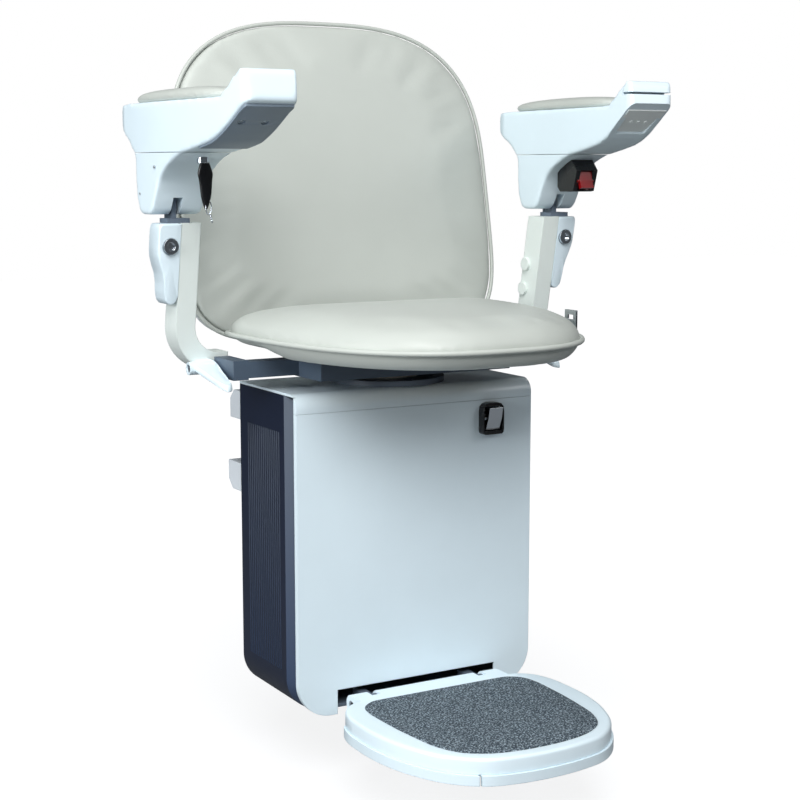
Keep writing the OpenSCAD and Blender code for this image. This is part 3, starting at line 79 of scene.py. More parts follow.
def node(nt, kind, **values):
    """A shader node with its settings and the values of its inputs."""
    n = nt.nodes.new("ShaderNode" + kind)
    for k, v in values.items():
        if hasattr(n, k) and k not in n.inputs:
            setattr(n, k, v)
        else:
            n.inputs[k.replace("_", " ")].default_value = v
    return n


def ramp(nt, source, stops):
    r = nt.nodes.new("ShaderNodeValToRGB")
    nt.links.new(source, r.inputs["Fac"])
    while len(r.color_ramp.elements) < len(stops):
        r.color_ramp.elements.new(0.5)
    for e, (at, colour) in zip(r.color_ramp.elements, stops):
        e.position = at
        e.color = colour
    return r.outputs["Color"]


def span(nt, source, low, high, start=0.0, end=1.0):
    """A value that runs from low to high as the source runs from start to end."""
    m = nt.nodes.new("ShaderNodeMapRange")
    nt.links.new(source, m.inputs["Value"])
    m.inputs["From Min"].default_value = start
    m.inputs["From Max"].default_value = end
    m.inputs["To Min"].default_value = low
    m.inputs["To Max"].default_value = high
    return m.outputs["Result"]


def blend(nt, amount, first):
    """A mix of two colours by an amount; the caller gives the second one."""
    mix = nt.nodes.new("ShaderNodeMix")
    mix.data_type = "RGBA"
    nt.links.new(amount, mix.inputs["Factor"])
    nt.links.new(first, mix.inputs["A"])
    return mix


def place_in(nt, stretch):
    """Where a point lies on its object, stretched for a grain that runs one way."""
    at = nt.nodes.new("ShaderNodeTexCoord").outputs["Object"]
    if not stretch:
        return at, at
    s = node(nt, "Mapping")
    s.inputs["Scale"].default_value = stretch
    nt.links.new(at, s.inputs["Vector"])
    return at, s.outputs["Vector"]


def grain_height(nt, at, grain, size):
    """The height of the fine grain: small cells, or plain noise."""
    if grain == "cells":
        g = node(nt, "TexVoronoi", Scale=1000 / size, feature="SMOOTH_F1")
        height = g.outputs["Distance"]
    else:
        g = node(nt, "TexNoise", Scale=1000 / size, Detail=2.0, Roughness=0.6)
        height = g.outputs["Fac"]
    nt.links.new(at, g.inputs["Vector"])
    return height


def relief(nt, height, depth, edge):
    """The normal of the grain, over edges that look rounded when edge isn't 0."""
    bump = node(nt, "Bump", Strength=1.0, Distance=depth * MM)
    nt.links.new(height, bump.inputs["Height"])
    if edge:
        bevel = nt.nodes.new("ShaderNodeBevel")
        bevel.samples = 4
        bevel.inputs["Radius"].default_value = edge * MM
        nt.links.new(bevel.outputs["Normal"], bump.inputs["Normal"])
    return bump.outputs["Normal"]


def surface(name, colour, rough, mottle=0.025, patch=14, grain="noise", size=0.8, depth=0.03,
            rough_vary=0.04, edge=0.8, metallic=0.0, coat=0.0, sheen=0.0, stretch=None, speck=None):
    """A finish made of broad mottling, a fine grain, uneven gloss and edges that catch the light.
    size is the width of the grain in mm, depth its height in mm, edge the radius of an edge in mm."""
    m = bpy.data.materials.new(name)
    m.use_nodes = True
    nt = m.node_tree
    b = nt.nodes["Principled BSDF"]
    at, fine_at = place_in(nt, stretch)
    broad = node(nt, "TexNoise", Scale=patch, Detail=3.0, Roughness=0.55)
    nt.links.new(at, broad.inputs["Vector"])
    stops = [(0.3, shade(colour, 1 - mottle)), (0.7, shade(colour, 1 + mottle))]
    base = ramp(nt, broad.outputs["Fac"], stops)
    height = grain_height(nt, fine_at, grain, size)
    if speck:
        speck_colour, low, high = speck
        mix = blend(nt, span(nt, height, 0, 1, low, high), base)
        mix.inputs["B"].default_value = speck_colour
        base = mix.outputs["Result"]
    nt.links.new(base, b.inputs["Base Color"])
    gloss = span(nt, broad.outputs["Fac"], rough - rough_vary, rough + rough_vary, 0.3, 0.7)
    nt.links.new(gloss, b.inputs["Roughness"])
    nt.links.new(relief(nt, height, depth, edge), b.inputs["Normal"])
    b.inputs["Metallic"].default_value = metallic
    b.inputs["Coat Weight"].default_value = coat
    b.inputs["Coat Roughness"].default_value = 0.12
    b.inputs["Sheen Weight"].default_value = sheen
    b.inputs["Sheen Roughness"].default_value = 0.4
    b.inputs["Specular IOR Level"].default_value = 0.5
    return m


LOOKS = {
    "white_shell": dict(colour=srgb(227, 243, 251), rough=0.32, mottle=0.012, size=1.4, depth=0.006,
                        coat=0.15, edge=1.2),
    "navy_panel": dict(colour=srgb(17, 27, 48), rough=0.42, mottle=0.08, size=0.5, depth=0.02, edge=1.0),
    "steel_body": dict(colour=srgb(96, 108, 122), rough=0.45, mottle=0.04, size=1.2, depth=0.01),
    "cream_paint": dict(colour=srgb(228, 236, 232), rough=0.4, mottle=0.015, size=1.6, depth=0.012, edge=2.0),
    "grey_paint": dict(colour=srgb(222, 228, 234), rough=0.42, mottle=0.02, size=1.6, depth=0.012, edge=1.5),
    "machine_steel": dict(colour=srgb(176, 180, 186), rough=0.3, mottle=0.04, size=0.3, depth=0.004,
                          metallic=1.0, stretch=(1.0, 8.0, 1.0)),
    "chrome_trim": dict(colour=srgb(214, 220, 226), rough=0.12, mottle=0.02, size=0.6, depth=0.001,
                        metallic=1.0, rough_vary=0.03),
    "black_plastic": dict(colour=srgb(16, 17, 20), rough=0.25, mottle=0.1, size=0.6, depth=0.004, edge=1.0),
    "roller_rubber": dict(colour=srgb(40, 42, 44), rough=0.7, mottle=0.1, size=0.5, depth=0.03),
    "bearing_plastic": dict(colour=srgb(226, 222, 208), rough=0.5, mottle=0.03, size=0.8, depth=0.01),
    "motor_cast": dict(colour=srgb(92, 96, 102), rough=0.6, mottle=0.08, size=1.0, depth=0.06),
    "board_green": dict(colour=srgb(34, 96, 56), rough=0.4, mottle=0.12, patch=60, size=1.5, depth=0.03),
    "battery_case": dict(colour=srgb(44, 45, 48), rough=0.55, mottle=0.06, size=0.6, depth=0.03),
    "upholstery": dict(colour=srgb(188, 193, 187), rough=0.46, mottle=0.022, patch=9, grain="cells", size=1.3,
                       depth=0.07, sheen=0.06, edge=0, rough_vary=0.06),
    "board_wood": dict(colour=srgb(168, 138, 100), rough=0.65, mottle=0.12, patch=30, size=1.2, depth=0.05,
                       stretch=(0.2, 3.0, 6.0)),
    "back_shell": dict(colour=srgb(216, 222, 224), rough=0.5, mottle=0.02, size=0.9, depth=0.03),
    "mat_rubber": dict(colour=srgb(48, 60, 70), rough=0.85, mottle=0.1, patch=40, size=2.2, depth=0.6, edge=0,
                       speck=(srgb(158, 174, 184), 0.5, 0.64)),
    "grey_plate": dict(colour=srgb(124, 138, 152), rough=0.45, mottle=0.02, size=0.6, depth=0.02),
    "pod_grey": dict(colour=srgb(238, 243, 242), rough=0.5, mottle=0.03, size=0.5, depth=0.02),
    "rocker_red": dict(colour=srgb(138, 12, 18), rough=0.25, mottle=0.08, size=0.8, depth=0.004, coat=0.3),
    "frame_steel": dict(colour=srgb(74, 88, 104), rough=0.42, mottle=0.05, size=1.2, depth=0.012),
}
FINISH = {name: surface(name, **look) for name, look in LOOKS.items()}


def paint_bevel_highlight(material, high, low):
    """Painted highlight: faces of the narrow bevel down the front edge of the side panels that turn forward
    get a paler colour, which fades downwards, in place of the light that catches the bevel.
    """
    nt = material.node_tree
    b = nt.nodes["Principled BSDF"]
    base = b.inputs["Base Color"].links[0].from_socket
    facing = nt.nodes.new("ShaderNodeNewGeometry").outputs["Normal"]
    parts = nt.nodes.new("ShaderNodeSeparateXYZ")
    nt.links.new(facing, parts.inputs["Vector"])
    forward = node(nt, "Math", operation="MULTIPLY")
    nt.links.new(parts.outputs["Y"], forward.inputs[0])
    forward.inputs[1].default_value = -1.0
    at = nt.nodes.new("ShaderNodeSeparateXYZ")
    nt.links.new(nt.nodes.new("ShaderNodeTexCoord").outputs["Object"], at.inputs["Vector"])
    highlight_fade = ramp(nt, span(nt, at.outputs["Z"], 0, 1, -0.32, 0.08), [(0.0, low), (1.0, high)])
    mix = blend(nt, span(nt, forward.outputs[0], 0, 1, 0.1, 0.22), base)
    nt.links.new(highlight_fade, mix.inputs["B"])
    nt.links.new(mix.outputs["Result"], b.inputs["Base Color"])


# Painted highlight on the navy panels' forward bevel: pale grey at the top, darker blue lower down, standing
# in for the light on that edge.
paint_bevel_highlight(FINISH["navy_panel"], srgb(96, 104, 116), srgb(44, 62, 92))


# Shape tools, all in millimetres in the CAD frame

def mesh_of(name, points, faces):
    mesh = bpy.data.meshes.new(name)
    mesh.from_pydata([tuple(float(c) * MM for c in p) for p in points], [], [tuple(f) for f in faces])
    return mesh


def linked(name, mesh):
    o = bpy.data.objects.new(name, mesh)
    bpy.context.scene.collection.objects.link(o)
    return o


def dress(o, slot):
    o.data.materials.clear()
    o.data.materials.append(FINISH[slot])


def new_piece(name, points, faces, slot, body):
    """A smooth piece with a finish, riding a body if one is given."""
    mesh = mesh_of(name, points, faces)
    mesh.update()
    o = linked(name, mesh)
    dress(o, slot)
    mesh.shade_smooth()
    if body:
        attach(o, body)
    return o


def tool_shape(points, faces):
    """A closed shape with its faces turned outwards, as a cutter or a base."""
    mesh = mesh_of("tool", points, faces)
    bm = bmesh.new()
    bm.from_mesh(mesh)
    bmesh.ops.recalc_face_normals(bm, faces=bm.faces)
    bm.to_mesh(mesh)
    bm.free()
    return linked("tool", mesh)


def power(v, p):
    return math.copysign(abs(v) ** (2 / p), v)


def around(count):
    """Angles once around, evenly spaced."""
    return np.linspace(0, 2 * math.pi, count, endpoint=False)


def curve(knots):
    """A smooth curve through knots of any spacing."""
    k = np.array(knots, float)
    h = np.linalg.norm(np.diff(k, axis=0), axis=1)
    v = np.diff(k, axis=0) / h[:, None]
    inner = (v[:-1] * h[1:, None] + v[1:] * h[:-1, None]) / (h[:-1] + h[1:])[:, None]
    m = np.vstack([v[:1], inner, v[-1:]])
    out = []
    for i in range(len(h)):
        for t in np.linspace(0, 1, 8, endpoint=False):
            out.append((2 * t ** 3 - 3 * t * t + 1) * k[i] + (t ** 3 - 2 * t * t + t) * h[i] * m[i]
                       + (3 * t * t - 2 * t ** 3) * k[i + 1] + (t ** 3 - t * t) * h[i] * m[i + 1])
    out.append(k[-1])
    return np.array(out)


def even(points, count, closed=False):
    """The same line with a count of evenly spaced points."""
    p = np.array(points, float)
    if closed:
        p = np.vstack([p, p[:1]])
    step = np.r_[0, np.cumsum(np.linalg.norm(np.diff(p, axis=0), axis=1))]
    at = np.linspace(0, step[-1], count, endpoint=not closed)
    return np.stack([np.interp(at, step, p[:, i]) for i in range(p.shape[1])], 1)


def smooth_line(knots, count):
    return even(curve(knots), count)


def flat(line):
    return [p[:2] for p in line]


def loft(rings):
    """Quads between rings of equal length, with a fan over each end."""
    n = len(rings[0])
    points = [p for r in rings for p in r]
    faces = []
    for k in range(len(rings) - 1):
        for i in range(n):
            j = (i + 1) % n
            faces.append((k * n + i, k * n + j, (k + 1) * n + j, (k + 1) * n + i))
    for k, flip in ((0, True), (len(rings) - 1, False)):
        mid = len(points)
        points.append(np.mean(np.array(rings[k]), axis=0))
        for i in range(n):
            j = (i + 1) % n
            faces.append((mid, k * n + j, k * n + i) if flip else (mid, k * n + i, k * n + j))
    return points, faces


def closed_loft(rings):
    """Quads between rings that run once around; the last ring is turned to meet the first."""
    n, sides = len(rings), len(rings[0])
    first, last = np.array(rings[0]), np.array(rings[-1])
    turn = int(np.argmin([np.linalg.norm(np.roll(first, -k, 0)[0] - last[0]) for k in range(sides)]))
    faces = []
    for k in range(n):
        after = (k + 1) % n
        s = turn if after == 0 else 0
        for i in range(sides):
            j = (i + 1) % sides
            faces.append((k * sides + i, k * sides + j, after * sides + (j + s) % sides,
                          after * sides + (i + s) % sides))
    return [q for ring in rings for q in ring], faces


def tube(name, path, r, slot, body, closed=False, sides=10):
    """A round bead along a path; r is its radius, or a radius for each point."""
    p = np.array(path, float)
    tangent = np.roll(p, -1, 0) - np.roll(p, 1, 0) if closed else np.gradient(p, axis=0)
    tangent /= np.linalg.norm(tangent, axis=1)[:, None]
    u = np.cross(tangent[0], [0.3, 0.2, 0.93])
    u /= np.linalg.norm(u)
    rings = []
    for at, t, radius in zip(p, tangent, np.broadcast_to(np.array(r, float), len(p))):
        u = u - t * (u @ t)
        u /= np.linalg.norm(u)
        v = np.cross(t, u)
        rings.append([at + radius * (math.cos(a) * u + math.sin(a) * v) for a in around(sides)])
    points, faces = closed_loft(rings) if closed else loft(rings)
    return new_piece(name, points, faces, slot, body)


def apply_all(o):
    """The object's mesh with its modifiers in it."""
    dg = bpy.context.evaluated_depsgraph_get()
    mesh = bpy.data.meshes.new_from_object(o.evaluated_get(dg))
    old = o.data
    o.modifiers.clear()
    o.data = mesh
    bpy.data.meshes.remove(old)
    return o


def coords(o):
    co = np.empty(len(o.data.vertices) * 3, np.float32)
    o.data.vertices.foreach_get("co", co)
    return co.reshape(-1, 3).astype(float)


def set_coords(o, co):
    o.data.vertices.foreach_set("co", np.asarray(co, np.float32).ravel())
    o.data.update()


def remesh(o, voxel):
    m = o.modifiers.new("voxel", "REMESH")
    m.mode = "VOXEL"
    m.voxel_size = voxel * MM


def relax(o, times):
    m = o.modifiers.new("even", "SMOOTH")
    m.factor = 0.5
    m.iterations = times


CLOTH_FRAMES = 20


def blow_up(o, pressure):
    """Runs the cloth on an object whose vertex group held stays where it is."""
    c = o.modifiers.new("cloth", "CLOTH")
    s = c.settings
    s.quality = 6
    s.mass = 0.3
    s.use_pressure = True
    s.uniform_pressure_force = pressure
    s.effector_weights.gravity = 0
    s.tension_stiffness = 20
    s.compression_stiffness = 15
    s.shear_stiffness = 8
    s.bending_stiffness = 1.5
    s.vertex_group_mass = "held"
    c.collision_settings.use_collision = False
    scene = bpy.context.scene
    for f in range(1, CLOTH_FRAMES + 1):
        scene.frame_set(f)
    apply_all(o)
    scene.frame_set(1)


def stuff(o, voxel, pressure, held, cap):
    """Remesh, then swell as cloth with some points held, then cap how far any point went."""
    remesh(o, voxel)
    apply_all(o)
    rest = coords(o)
    group = o.vertex_groups.new(name="held")
    group.add([i for i, p in enumerate(rest / MM) if held(p)], 1.0, "REPLACE")
    blow_up(o, pressure)
    move = coords(o) - rest
    far = np.linalg.norm(move, axis=1)
    move *= np.minimum(1, cap * MM / np.maximum(far, 1e-9))[:, None]
    set_coords(o, rest + move)
    o.vertex_groups.clear()


def smoothed(o, times=4):
    """Relaxed, divided once more and shaded smooth."""
    relax(o, times)
    d = o.modifiers.new("finer", "SUBSURF")
    d.levels = d.render_levels = 1
    apply_all(o)
    o.data.shade_smooth()


def boolean(o, other, operation):
    """Works a closed shape into a piece, and uses the shape up."""
    m = o.modifiers.new("boolean", "BOOLEAN")
    m.operation = operation
    m.solver = "EXACT"
    m.object = other
    apply_all(o)
    bpy.data.objects.remove(other)
    return o


def cut(o, other):
    return boolean(o, other, "DIFFERENCE")


def joined(o, other):
    return boolean(o, other, "UNION")


def common(o, other):
    return boolean(o, other, "INTERSECT")


# Camera, lights, floor

CAMERA_PLACE, CAMERA_LENS = (-1.011, -1.882, 0.350), 72.45
CAMERA_TURN, CAMERA_DOWN = math.radians(29.87), math.radians(8.17)
FLOOR_Z, FLOOR_HALF = CAD_BOX[0][2] - 0.09, 9


def aim(o, direction):
    o.rotation_mode = "QUATERNION"
    o.rotation_quaternion = direction.to_track_quat("-Z", "Y")


def place_camera():
    camera = linked("camera", bpy.data.cameras.new("camera"))
    bpy.context.scene.camera = camera
    camera.data.sensor_width = 36
    camera.data.lens = CAMERA_LENS
    camera.location = CAMERA_PLACE
    level = math.cos(CAMERA_DOWN)
    ahead = (math.sin(CAMERA_TURN) * level, math.cos(CAMERA_TURN) * level, -math.sin(CAMERA_DOWN))
    aim(camera, Vector(ahead))


def lamp(name, place, target, size, watts, colour=(1, 1, 1)):
    """A round lamp at a place, turned to a target."""
    light = bpy.data.lights.new(name, "AREA")
    light.shape = "DISK"
    light.size = size
    light.energy = watts
    light.color = colour
    o = linked(name, light)
    o.location = place
    aim(o, Vector(target) - Vector(place))


def light_world():
    """A pale blue fill that the camera sees as white."""
    world = bpy.data.worlds.new("studio")
    bpy.context.scene.world = world
    world.use_nodes = True
    nt = world.node_tree
    nt.nodes.clear()
    path = nt.nodes.new("ShaderNodeLightPath")
    seen = node(nt, "Math", operation="MAXIMUM")
    nt.links.new(path.outputs["Is Camera Ray"], seen.inputs[0])
    nt.links.new(path.outputs["Is Transmission Ray"], seen.inputs[1])
    fill = node(nt, "Background", Color=(0.86, 0.93, 1.0, 1), Strength=0.11)
    shown = node(nt, "Background", Color=(1, 1, 1, 1), Strength=1.0)
    mixed = nt.nodes.new("ShaderNodeMixShader")
    nt.links.new(seen.outputs[0], mixed.inputs["Fac"])
    nt.links.new(fill.outputs[0], mixed.inputs[1])
    nt.links.new(shown.outputs[0], mixed.inputs[2])
    out = nt.nodes.new("ShaderNodeOutputWorld")
    nt.links.new(mixed.outputs[0], out.inputs["Surface"])


def floor_paper():
    """Grey paper that glows towards the camera, more so farther out, so that it ends in white."""
    paper = bpy.data.materials.new("floor")
    paper.use_nodes = True
    nt = paper.node_tree
    b = nt.nodes["Principled BSDF"]
    b.inputs["Base Color"].default_value = (0.22, 0.23, 0.24, 1)
    b.inputs["Roughness"].default_value = 0.9
    b.inputs["Specular IOR Level"].default_value = 0.1
    distance = node(nt, "VectorMath", operation="LENGTH")
    nt.links.new(nt.nodes.new("ShaderNodeTexCoord").outputs["Object"], distance.inputs[0])
    path = nt.nodes.new("ShaderNodeLightPath")
    level = node(nt, "Math", operation="MULTIPLY")
    nt.links.new(path.outputs["Is Camera Ray"], level.inputs[0])
    nt.links.new(span(nt, distance.outputs["Value"], 0.82, 1.0, 0.4, 1.3), level.inputs[1])
    glow = node(nt, "Emission", Color=(1, 1, 1, 1))
    nt.links.new(level.outputs[0], glow.inputs["Strength"])
    both = nt.nodes.new("ShaderNodeAddShader")
    nt.links.new(b.outputs[0], both.inputs[0])
    nt.links.new(glow.outputs[0], both.inputs[1])
    nt.links.new(both.outputs[0], nt.nodes["Material Output"].inputs["Surface"])
    return paper


def lay_floor():
    f = FLOOR_HALF
    corners = [(-f, -f, FLOOR_Z), (f, -f, FLOOR_Z), (f, f, FLOOR_Z), (-f, f, FLOOR_Z)]
    mesh = bpy.data.meshes.new("floor")
    mesh.from_pydata(corners, [], [(0, 1, 2, 3)])
    floor = linked("floor", mesh)
    floor.data.materials.append(floor_paper())


place_camera()
lamp("key", (-1.2, -2.2, 2.1), (0, -0.15, 0.12), 2.0, 92)
lamp("overhead", (0.1, -0.3, 2.6), (0, -0.1, 0.1), 1.0, 9)
lamp("left", (-2.4, -0.5, 0.7), (0, -0.1, 0.15), 1.4, 38, (0.97, 0.99, 1.0))
lamp("right", (1.7, -2.0, 1.5), (0.1, -0.15, 0.0), 0.9, 9)
bpy.context.scene.view_settings.view_transform = "Standard"
light_world()
lay_floor()


# CAD nodes take their finishes

SLOTS = {s["node"]: s["material_slot"] for s in frame["record"]["subparts"]}
for name, o in frame["nodes"].items():
    o.data.materials.clear()
    o.data.materials.append(FINISH[SLOTS[name]])


# Shapes that several pieces share

OUTLINE_STEPS = 1440


def edge_line(point, scale, count, grow):
    """A cushion's outline in its own plane, at a scale about its middle, pushed outwards by grow."""
    line = even([point(a, scale) for a in around(OUTLINE_STEPS)], count, closed=True)
    step = np.roll(line, -1, 0) - np.roll(line, 1, 0)
    step /= np.linalg.norm(step, axis=1)[:, None]
    return line + grow * np.stack([step[:, 1], -step[:, 0]], 1)


def mirrored(points, s):
    """Points on the right side, or on the left one when s is -1."""
    return [(s * p[0], p[1], p[2]) for p in points]


def walls(n):
    """The faces of a prism whose two ends have n corners each."""
    ends = [tuple(range(n))[::-1], tuple(range(n, 2 * n))]
    return ends + [(i, (i + 1) % n, n + (i + 1) % n, n + i) for i in range(n)]


def side_prism(outline, x0, x1, s=1):
    """An outline in the YZ plane pushed out along X, on the side s."""
    points = [(s * x, p[0], p[1]) for x in (x0, x1) for p in outline]
    return tool_shape(points, walls(len(outline)))


def plan_prism(outline, z0, z1, s=1):
    """An outline in the XY plane pushed out along Z, on the side s."""
    points = mirrored([(p[0], p[1], z) for z in (z0, z1) for p in outline], s)
    return tool_shape(points, walls(len(outline)))


def front_prism(outline, y0, y1):
    """An outline in the XZ plane pushed out along Y."""
    points = [(p[0], y, p[1]) for y in (y0, y1) for p in outline]
    return tool_shape(points, walls(len(outline)))


def block(low, high, s=1):
    (x0, y0, z0), (x1, y1, z1) = low, high
    return plan_prism([(x0, y0), (x1, y0), (x1, y1), (x0, y1)], z0, z1, s)


def rod(a, b, r, s=1, sides=40):
    """A closed round bar between two points, on the side s."""
    a, b = np.array(a, float), np.array(b, float)
    t = (b - a) / np.linalg.norm(b - a)
    u = np.cross(t, [0.31, 0.17, 0.93])
    u /= np.linalg.norm(u)
    v = np.cross(t, u)
    ring = [r * (math.cos(q) * u + math.sin(q) * v) for q in around(sides)]
    points = mirrored([c + k for c in (a, b) for k in ring], s)
    return tool_shape(points, walls(sides))


def rounded(o, radius, segments=3):
    """Every edge sharper than 30 degrees gets a small radius."""
    m = o.modifiers.new("round", "BEVEL")
    m.width = radius * MM
    m.segments = segments
    m.limit_method = "ANGLE"
    m.angle_limit = math.radians(30)
    m.harden_normals = False
    return apply_all(o)


def swell(o, voxel, times):
    """Remeshed evenly and smoothed, which rounds every edge."""
    remesh(o, voxel)
    relax(o, times)
    return apply_all(o)


def copy_of(o):
    c = o.copy()
    c.data = o.data.copy()
    bpy.context.scene.collection.objects.link(c)
    return c


def finished(o, name, slot, body, replaces=()):
    """A shape becomes a named piece: shaded by angle, with a finish, riding a body."""
    o.name = name
    o.data.name = name
    o.data.shade_smooth()
    o.data.set_sharp_from_angle(angle=math.radians(35))
    dress(o, slot)
    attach(o, body)
    if replaces:
        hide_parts(*replaces)


def upholstered(o, body, node_name):
    """A cushion's cover takes its leather, rides its body and stands for its solid."""
    dress(o, "upholstery")
    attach(o, body)
    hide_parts(node_name)


SIDES = ((-1, "left"), (1, "right"))


# Seat cushion: two panels with a bead of piping between them

SEAT_W, SEAT_D, SEAT_LOW, SEAM, CROWN = 404.0, 361.0, 131.0, 146.0, 38.0
SEAT_FRONT, SEAT_REAR = -377.0, -16.0
SEAT_WIDE = SEAT_REAR - 0.08 * SEAT_D
SEAT_MID = (SEAT_FRONT + SEAT_REAR) / 2
SEAT_FRONT_POWER, SEAT_REAR_POWER = 2.6, 5.0
DROOP, DROOP_FROM, DROOP_OVER = 9.0, 112.0, 45.0
BOARD_INSET, BOARD_DEEP = 37.4, 10.3
HINGE_HALF, HINGE_FRONT, HINGE_REAR, HINGE_DEEP = 113.0, -67.0, 20.0, 26.0
SEAT_HELD = 120
BEAD_SCALE, BEAD_OUT, BEAD_R = 0.99, 0.6, 3.3
UNDERSIDE = (0.06, 0.4, 0.75, 0.83)
BAND = [(0.862, 0.0), (0.9, 0.1), (0.94, 0.36), (0.972, 0.7), (0.984, 0.9), (0.976, 1.0)]
SEAT_TOP = [(0.976, 0.0), (0.986, 0.1), (0.982, 0.22), (0.942, 0.5), (0.85, 0.75), (0.66, 0.89),
            (0.45, 0.95), (0.22, 0.98), (0.06, 0.985)]


def seat_point(a, s):
    p = SEAT_FRONT_POWER if math.sin(a) < 0 else SEAT_REAR_POWER
    reach = SEAT_WIDE - SEAT_FRONT if math.sin(a) < 0 else SEAT_REAR - SEAT_WIDE
    y = SEAT_WIDE + reach * power(math.sin(a), p)
    return (s * SEAT_W / 2 * power(math.cos(a), p), SEAT_MID + s * (y - SEAT_MID))


def seat_line(s, z, count=160, grow=0.0):
    return [(p[0], p[1], z) for p in edge_line(seat_point, s, count, grow)]


def drooped(line, droop):
    """The front of the band hangs a little below the seat frame."""
    return [(x, y, z - droop * min(max((-y - DROOP_FROM) / DROOP_OVER, 0), 1)) for x, y, z in line]


def seat_held(p):
    """The underside and the outer part of the seam stay where they are."""
    return p[2] < SEAT_LOW + 2 or abs(p[2] - SEAM) < 3 and abs(p[0]) + abs(p[1] - SEAT_MID) > SEAT_HELD


def make_seat():
    rings = [seat_line(s, SEAT_LOW) for s in UNDERSIDE]
    rings += [drooped(seat_line(s, SEAT_LOW + h * (SEAM - SEAT_LOW)), DROOP * (1 - h)) for s, h in BAND]
    rings += [seat_line(s, SEAM + h * CROWN) for s, h in smooth_line(SEAT_TOP, 14)[1:]]
    seat = new_piece("seat_cover", *loft(rings), "upholstery", None)
    stuff(seat, voxel=5, pressure=1.5, held=seat_held, cap=2.2)
    smoothed(seat, times=12)
    board = flat(seat_line(1 - 2 * BOARD_INSET / SEAT_W, 0, 80))
    cut(seat, plan_prism(board, SEAT_LOW - 12, SEAT_LOW + BOARD_DEEP))
    cut(seat, block((-HINGE_HALF, HINGE_FRONT, SEAT_LOW - 5),
                    (HINGE_HALF, HINGE_REAR, SEAT_LOW + HINGE_DEEP)))
    upholstered(seat, "seat", "seat_cushion")
    bead = seat_line(BEAD_SCALE, SEAM, 240, grow=BEAD_OUT)
    tube("seat_piping", bead, BEAD_R, "upholstery", "seat", closed=True)


make_seat()


# Backrest cushion, shaped flat and then leaned back

BACK_W, BACK_L, BACK_T, BACK_CROWN = 470.0, 424.0, 26.0, 15.0
BACK_MID = BACK_L * 0.51
BACK_LOW_POWER, BACK_TOP_POWER = 5.6, 2.9
BACK_FOOT, BACK_ANGLE = (0, 4, 128), math.radians(78.5)
LEAN = Matrix.Translation(BACK_FOOT) @ Matrix.Rotation(BACK_ANGLE, 4, "X")
FLAT = LEAN.inverted()
BACK_HELD_X, BACK_HELD_Y = 150, 130
BACK_BEAD_SCALE, BACK_BEAD_OUT, BACK_BEAD_R = 0.992, 0.4, 2.7
BACK_REAR = (0.05, 0.35, 0.7)
BACK_SIDE = [(0.965, 0.0), (0.98, 0.3), (0.986, 0.7), (0.98, 1.0)]
BACK_FRONT = [(0.98, 0.0), (0.984, 0.15), (0.968, 0.34), (0.93, 0.55), (0.84, 0.74), (0.68, 0.84),
              (0.45, 0.9), (0.2, 0.92), (0.05, 0.93)]


def back_point(a, s):
    p = BACK_LOW_POWER if math.sin(a) < 0 else BACK_TOP_POWER
    reach = BACK_MID if math.sin(a) < 0 else BACK_L - BACK_MID
    return (s * BACK_W / 2 * power(math.cos(a), p), BACK_MID + s * reach * power(math.sin(a), p))


def back_line(s, z, count=180, grow=0.0):
    return [tuple(LEAN @ Vector((p[0], p[1], z))) for p in edge_line(back_point, s, count, grow)]


def back_held(p):
    """The rear face and the outer part of the seam stay where they are."""
    q = FLAT @ Vector(p)
    outside = abs(q.x) > BACK_HELD_X or abs(q.y - BACK_MID) > BACK_HELD_Y
    return q.z < 3 - BACK_T or abs(q.z) < 3 and outside


def make_backrest():
    rings = [back_line(s, -BACK_T) for s in BACK_REAR]
    rings += [back_line(s, (h - 1) * BACK_T) for s, h in BACK_SIDE]
    rings += [back_line(s, h * BACK_CROWN) for s, h in smooth_line(BACK_FRONT, 14)[1:]]
    back = new_piece("backrest_cover", *loft(rings), "upholstery", None)
    stuff(back, voxel=5, pressure=2, held=back_held, cap=2.4)
    smoothed(back, times=8)
    upholstered(back, "seat_base", "backrest_cushion")
    bead = back_line(BACK_BEAD_SCALE, 0, 260, grow=BACK_BEAD_OUT)
    tube("backrest_piping", bead, BACK_BEAD_R, "upholstery", "seat_base", closed=True)


make_backrest()


# Arms: one smooth body each side, split at the seam into the shell and the housing below it

ARM_X, ARM_REAR, ARM_LEN, ARM_W, ARM_SEAM, ARM_FLAT = 277.5, 36.0, 334.0, 65.0, 369.0, 59.0
ARM_INNER, ARM_OUTER, ARM_BEFORE, ARM_BEHIND, ARM_FLOOR, ARM_CEILING = 205, 325, -320, 60, 250, 480
TOE_FROM, TOE_IN, TOE_POWER = 0.16, 21, 1.6
SEAM_GAP = 0.3
SLOT_IN, SLOT_OUT, SLOT_END, SLOT_TOP, SLOT_REAR_TOP, PIVOT_Y = 272.3, 284.3, 340, 316, 344, -50
TOGGLE_LOW, TOGGLE_LEDGE, TOGGLE_REAR, TOGGLE_GAP = 443, 440.4, -276.9, 1.0
RISE_START, RISE_END, RISE_LOW, RISE_HIGH = 0.8, 1.04, 15.5, 70
WINDOW_TOP, WINDOW_ROUND = 431, 4
# Corners of the window: shares of the arm's length, and distances from its middle line
WINDOW = ((0.956, -24.5), (0.956, 24.5), (0.84, 23), (0.84, -23))

